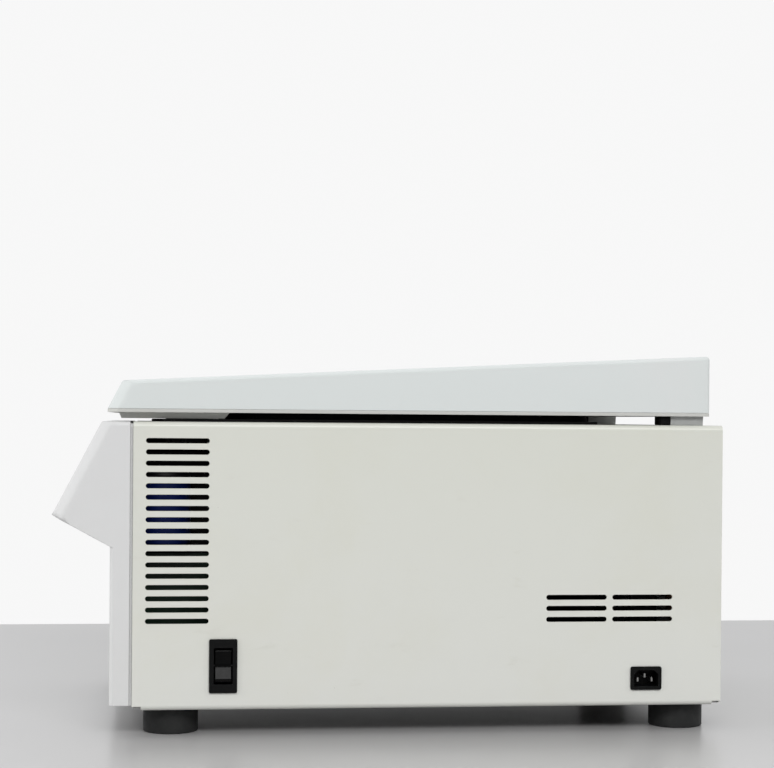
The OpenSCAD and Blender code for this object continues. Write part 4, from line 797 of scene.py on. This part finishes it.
def turned(name, colour, aged, rough, spread, middle, rings=900, depth=0.000008, patches=14):
    """Metal that was turned or spun about an upright axis through middle."""
    mat = skin(name, colour, aged, rough, 0.0, grains=400, depth=0.0, patches=patches, metallic=1.0)
    tree = mat.node_tree
    shader = tree.nodes["Principled BSDF"]
    place = add_node(tree, "ShaderNodeMapping", {
        "Vector": place_in(tree), "Location": (-middle[0], -middle[1], 0)})
    marks = place_group(tree, turned_group, {"Vector": place.outputs["Vector"], "Rings": rings})
    gloss = ramp(tree, marks.outputs["Tone"], 0.3, 0.7, rough - spread, rough + spread)
    tree.links.new(gloss, shader.inputs["Roughness"])
    bump = add_node(tree, "ShaderNodeBump", {"Height": marks.outputs["Height"], "Distance": depth})
    tree.links.new(bump.outputs["Normal"], shader.inputs["Normal"])
    return mat


bowl_low, bowl_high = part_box("rotor_bowl")
axle = ((bowl_low.x + bowl_high.x) / 2, (bowl_low.y + bowl_high.y) / 2)
bowl_finish = turned("bowl_steel", (0.60, 0.605, 0.61), (0.52, 0.525, 0.525), 0.27, 0.07, axle, 700, 0.000003)
softened("rotor_bowl", bowl_finish, 0.0003, 1)
copper_finish = skin("copper_tube", (0.62, 0.30, 0.18), (0.36, 0.19, 0.12), 0.34, 0.1, grains=500, depth=0.00001,
                     patches=45, metallic=1.0)
coil_tree, given, result = node_tree("wound_tube", [
    ("Middle radius", "NodeSocketFloat"), ("Tube radius", "NodeSocketFloat"), ("Turns", "NodeSocketFloat"),
    ("Rise", "NodeSocketFloat"), ("Place", "NodeSocketVector"), ("Finish", "NodeSocketMaterial")])
winding = add_node(coil_tree, "GeometryNodeCurveSpiral", {
    "Resolution": 48, "Rotations": given.outputs["Turns"], "Start Radius": given.outputs["Middle radius"],
    "End Radius": given.outputs["Middle radius"], "Height": given.outputs["Rise"], "Reverse": True})
section = add_node(coil_tree, "GeometryNodeCurvePrimitiveCircle", {
    "Resolution": 12, "Radius": given.outputs["Tube radius"]})
tube = add_node(coil_tree, "GeometryNodeCurveToMesh", {
    "Curve": winding.outputs[0], "Profile Curve": section.outputs[0], "Fill Caps": True})
placed = add_node(coil_tree, "GeometryNodeTransform", {
    "Geometry": tube.outputs[0], "Translation": given.outputs["Place"]})
close_tree(coil_tree, result, given, placed.outputs[0])
coil_low, coil_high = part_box("evaporator_coil")
tube_r, turns = 0.0036, 8.0
coil = plain_mesh("evaporator_coil_piece", [axle + (0,)], [])
grow(coil, coil_tree, {
    "Middle radius": (coil_high.x - coil_low.x) / 2 - tube_r, "Tube radius": tube_r, "Turns": turns,
    "Rise": coil_high.z - coil_low.z - 2 * tube_r, "Place": (*axle, coil_low.z + tube_r), "Finish": copper_finish})
coil.data.shade_smooth()
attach(coil, "housing")
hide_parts("evaporator_coil")
foam_finish = skin("rigid_foam", (0.62, 0.55, 0.36), (0.52, 0.44, 0.26), 0.8, grains=420, depth=0.0004, patches=30)
finish_node("bowl_insulation", foam_finish)
softened("chamber_shelf", zinc_finish, 0.0003, 1)
finish_node("shaft_boot", seal_finish)


# Drive: a cast motor housing with cooling fins that hangs on three rubber mounts, with two ball
# bearings pressed into it and a ground steel shaft that carries the rotor.
casting_finish = skin("bare_casting", (0.52, 0.53, 0.54), (0.42, 0.425, 0.43), 0.46, 0.1, grains=650, depth=0.00006,
                      patches=25, metallic=1.0)
softened("motor_housing", casting_finish, 0.0006, 2)
rubber_finish = skin("mount_rubber", (0.012, 0.012, 0.012), (0.02, 0.02, 0.019), 0.6, grains=900, depth=0.00004,
                     patches=50, specular=0.3)
for name in ("motor_dampers", "compressor_grommets"):
    finish_node(name, rubber_finish)
steel_finish = turned("ground_steel", (0.56, 0.565, 0.57), (0.48, 0.48, 0.475), 0.22, 0.06, axle, 1500, 0.000004)
finish_node("motor_bearings", steel_finish)
finish_node("drive_shaft", steel_finish)


# Rotor: one turned aluminium forging, hard anodised dark, with a ring of angled bores for tubes.
# A thin spun lid lies on it, held by a fluted knob on the shaft.
anodised_finish = turned("dark_anodising", (0.075, 0.08, 0.09), (0.10, 0.105, 0.115), 0.36, 0.07, axle, 1100,
                         0.000006)
spun_finish = turned("spun_lid", (0.62, 0.63, 0.64), (0.54, 0.545, 0.55), 0.3, 0.08, axle, 800)
softened("rotor", anodised_finish, 0.0006, 2)
softened("rotor_lid", spun_finish, 0.0005, 2)
softened("rotor_knob", anodised_finish, 0.0005, 2)


# Cooling set: a black enamelled compressor on grommets, a finned condenser, a fan in a square
# frame and soldered copper lines with a filter drier.
enamel_finish = skin("black_enamel", (0.010, 0.010, 0.0105), (0.014, 0.014, 0.014), 0.28, 0.06, grains=300,
                     depth=0.00003, patches=20, dust=(0.06, 0.058, 0.052))
finish_node("compressor", enamel_finish)
fan_finish = skin("fan_plastic", (0.010, 0.010, 0.0105), (0.016, 0.016, 0.016), 0.45, grains=1500, depth=0.00002,
                  patches=40, edges=(0.05, 0.05, 0.048), dust=(0.07, 0.068, 0.06), specular=0.35)
finish_node("fan_frame", fan_finish)
finish_node("fan_impeller", fan_finish)
fin_tree, given, result = node_tree("finned_block", [
    ("Fins", "NodeSocketInt"), ("Fin size", "NodeSocketVector"), ("Fin start", "NodeSocketVector"),
    ("Fin step", "NodeSocketVector"), ("Tubes", "NodeSocketInt"), ("Tube radius", "NodeSocketFloat"),
    ("Tube length", "NodeSocketFloat"), ("Tube start", "NodeSocketVector"), ("Tube step", "NodeSocketVector"),
    ("Finish", "NodeSocketMaterial")])
fin_row = add_node(fin_tree, "GeometryNodeMeshLine", {
    "Count": given.outputs["Fins"], "Start Location": given.outputs["Fin start"],
    "Offset": given.outputs["Fin step"]})
fin = add_node(fin_tree, "GeometryNodeMeshCube", {"Size": given.outputs["Fin size"]})
fins = add_node(fin_tree, "GeometryNodeInstanceOnPoints", {
    "Points": fin_row.outputs[0], "Instance": fin.outputs[0]})
tube_row = add_node(fin_tree, "GeometryNodeMeshLine", {
    "Count": given.outputs["Tubes"], "Start Location": given.outputs["Tube start"],
    "Offset": given.outputs["Tube step"]})
pipe = add_node(fin_tree, "GeometryNodeMeshCylinder", {
    "Vertices": 20, "Radius": given.outputs["Tube radius"], "Depth": given.outputs["Tube length"]})
pipes = add_node(fin_tree, "GeometryNodeInstanceOnPoints", {
    "Points": tube_row.outputs[0], "Instance": pipe.outputs["Mesh"], "Rotation": (0, math.pi / 2, 0)})
block = add_node(fin_tree, "GeometryNodeJoinGeometry")
for part in (given.outputs["Geometry"], fins.outputs[0], pipes.outputs[0]):
    fin_tree.links.new(part, block.inputs[0])
close_tree(fin_tree, result, given, block.outputs[0])
cond_low, cond_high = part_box("condenser")
bend_out, plate_t, fin_t, core_low = 0.006, 0.002, 0.0004, 0.024
fin_count, row_count, row_step, row_first = 46, 6, 0.028, 0.018
core_x = (cond_low.x + bend_out, cond_high.x - bend_out)
cond_mid = (cond_low + cond_high) / 2
cond_size = cond_high - cond_low
bm = bmesh.new()
for x in core_x:
    bmesh.ops.create_cube(bm, size=1, matrix=Matrix.Translation((x, cond_mid.y, cond_mid.z))
                          @ Matrix.Diagonal((plate_t, cond_size.y, cond_size.z, 1)))
fin_finish = skin("condenser_fins", (0.55, 0.56, 0.57), (0.40, 0.40, 0.39), 0.4, 0.1, grains=600, depth=0.00001,
                  patches=60, dust=(0.20, 0.19, 0.17), metallic=1.0)
condenser = as_piece("condenser_piece", bm, fin_finish)
fin_gap = (core_x[1] - core_x[0]) / (fin_count + 1)
core_h = cond_size.z - core_low
grow(condenser, fin_tree, {
    "Fins": fin_count, "Fin size": (fin_t, cond_size.y, core_h),
    "Fin start": (core_x[0] + fin_gap, cond_mid.y, cond_high.z - core_h / 2), "Fin step": (fin_gap, 0, 0),
    "Tubes": row_count, "Tube radius": 0.004, "Tube length": cond_size.x,
    "Tube start": (cond_mid.x, cond_mid.y, cond_low.z + core_low + row_first), "Tube step": (0, 0, row_step),
    "Finish": fin_finish})
condenser.data.shade_smooth()
condenser.data.set_sharp_from_angle(angle=math.radians(35))
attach(condenser, "housing")
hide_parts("condenser")
for name in ("refrigerant_lines", "filter_drier"):
    finish_node(name, copper_finish)


# Power electronics: a bracket with the drive board, the bracket coloured black as painted shade inside the
# housing, a capacitor in a blue shrink sleeve with a black ring round its top, standing on the shelf, and a
# mains filter in a bright can.
softened("board_bracket", interior_shade_finish, 0.0003, 1)
sleeve_finish = skin("blue_sleeve", (0.0022, 0.0095, 0.085), (0.003, 0.011, 0.07), 0.36, 0.06, grains=260,
                     depth=0.00005, patches=60, specular=0.2)
can_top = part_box("capacitor")[1].z
ring_low, ring_high = can_top - 0.0105, can_top - 0.0095
cap_ring = place_group(sleeve_finish.node_tree, height_band_group, {
    "Vector": place_in(sleeve_finish.node_tree), "Low": ring_low, "High": ring_high})
paint_over(sleeve_finish, cap_ring.outputs["Mask"], (0.004, 0.004, 0.005))
softened("capacitor", sleeve_finish, 0.0006, 2)
finish_node("drive_board", board_finish)
softened("mains_filter", zinc_finish, 0.0012, 2)


# Hinges and buffers: two painted die-cast brackets on the side panels with ground pins, and a
# black rubber block in front of each on which the closed lid rests.
bracket_finish = skin("hinge_casting", (0.44, 0.45, 0.44), (0.38, 0.385, 0.37), 0.42, grains=800, depth=0.00005,
                      patches=60, edges=(0.6, 0.6, 0.59), edge_reach=0.0008, metallic=0.75)
softened("hinge_brackets", bracket_finish, 0.0008, 2)
pin_finish = skin("bright_pins", (0.56, 0.565, 0.57), (0.47, 0.47, 0.465), 0.25, grains=1200, depth=0.000006,
                  patches=90, metallic=1.0)
finish_node("hinge_pins", pin_finish)
buffer_finish = skin("buffer_rubber", (0.0035, 0.0035, 0.0036), (0.006, 0.006, 0.006), 0.6, grains=900,
                     depth=0.00003, patches=80, edges=(0.012, 0.012, 0.012), specular=0.1)
softened("lid_buffers", buffer_finish, 0.0012, 2)


# Lid lock: a guide under the deck, coloured black as painted shade inside the housing, and a square bar
# of blackened steel with two pins that slides into the eyes of the lid hooks.
softened("latch_frame", interior_shade_finish, 0.0004, 2)
blued_finish = skin("blackened_steel", (0.020, 0.020, 0.022), (0.030, 0.029, 0.029), 0.4, grains=900, depth=0.00001,
                    patches=70, edges=(0.10, 0.10, 0.10), edge_reach=0.0006, metallic=0.6, specular=0.3)
softened("latch_bar", blued_finish, 0.0005, 2)


# Lid: a wedge-shaped moulding in the same plastic as the front cover, a shade cooler, closed below
# by a warm grey liner. A flat bead seals the joint between the two. Hooks and hinge arms bolt to it.
lid_finish = skin("lid_plastic", (0.664, 0.698, 0.690), (0.676, 0.696, 0.690), 0.55, 0.07, grains=2100,
                  depth=0.00003, patches=5, edges=(0.68, 0.71, 0.70), edge_reach=0.0015, specular=0.3)
lid_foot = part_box("lid_shell")[0]
lid_slope = math.radians(62.7)
ease_edges(lid_finish, lid_foot, lid_slope, lid_foot.z)
softened("lid_shell", lid_finish, 0.0008, 3, 28)
liner_finish = skin("liner_plastic", (0.54, 0.545, 0.52), (0.51, 0.515, 0.485), 0.5, grains=1700, depth=0.00003,
                    patches=12, edges=(0.6, 0.6, 0.57), edge_reach=0.001)
softened("lid_liner", liner_finish, 0.0005, 2)
bead_h, bead_scale = 0.00046, (0.9985, 0.9990, 1)
bm = merged_copy("lid_liner")
ledge = [f for f in bm.faces if f.normal.z > 0.9 and 0.0002 < lid_foot.z - f.calc_center_median().z < 0.0008]
bmesh.ops.delete(bm, geom=[f for f in bm.faces if f not in ledge], context="FACES")
thicken(bm, bm.faces[:], (0, 0, bead_h))
liner_low, liner_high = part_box("lid_liner")
hub = Matrix.Translation((0, -(liner_low.y + liner_high.y) / 2, 0))
bmesh.ops.scale(bm, vec=bead_scale, space=hub, verts=bm.verts)
bmesh.ops.recalc_face_normals(bm, faces=bm.faces)
joint_bead = as_piece("lid_joint_bead", bm, liner_finish)
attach(joint_bead, "lid")
softened("lid_hooks", blued_finish, 0.0006, 2)
softened("hinge_arms", bracket_finish, 0.0008, 2)


# Sight window: a clear acrylic plug turned from sheet, polished on both faces and pressed into the
# lid over the rotor axis. Cleaning has left faint dull patches on it.
glass, tree, shader = new_finish("sight_acrylic")
place = place_in(tree)
patch = place_group(tree, patch_group, {"Vector": place, "Patches": 60.0})
tree.links.new(mix_colour(tree, patch.outputs["Mask"], (0.88, 0.93, 0.93), (0.80, 0.86, 0.86)),
               shader.inputs["Base Color"])
grain = place_group(tree, grain_group, {"Vector": place, "Grains": 500.0})
tree.links.new(ramp(tree, grain.outputs["Tone"], 0.0, 1.0, 0.02, 0.12), shader.inputs["Roughness"])
shader.inputs["Transmission Weight"].default_value = 1.0
shader.inputs["IOR"].default_value = 1.49
softened("lid_window", glass, 0.0006, 2)
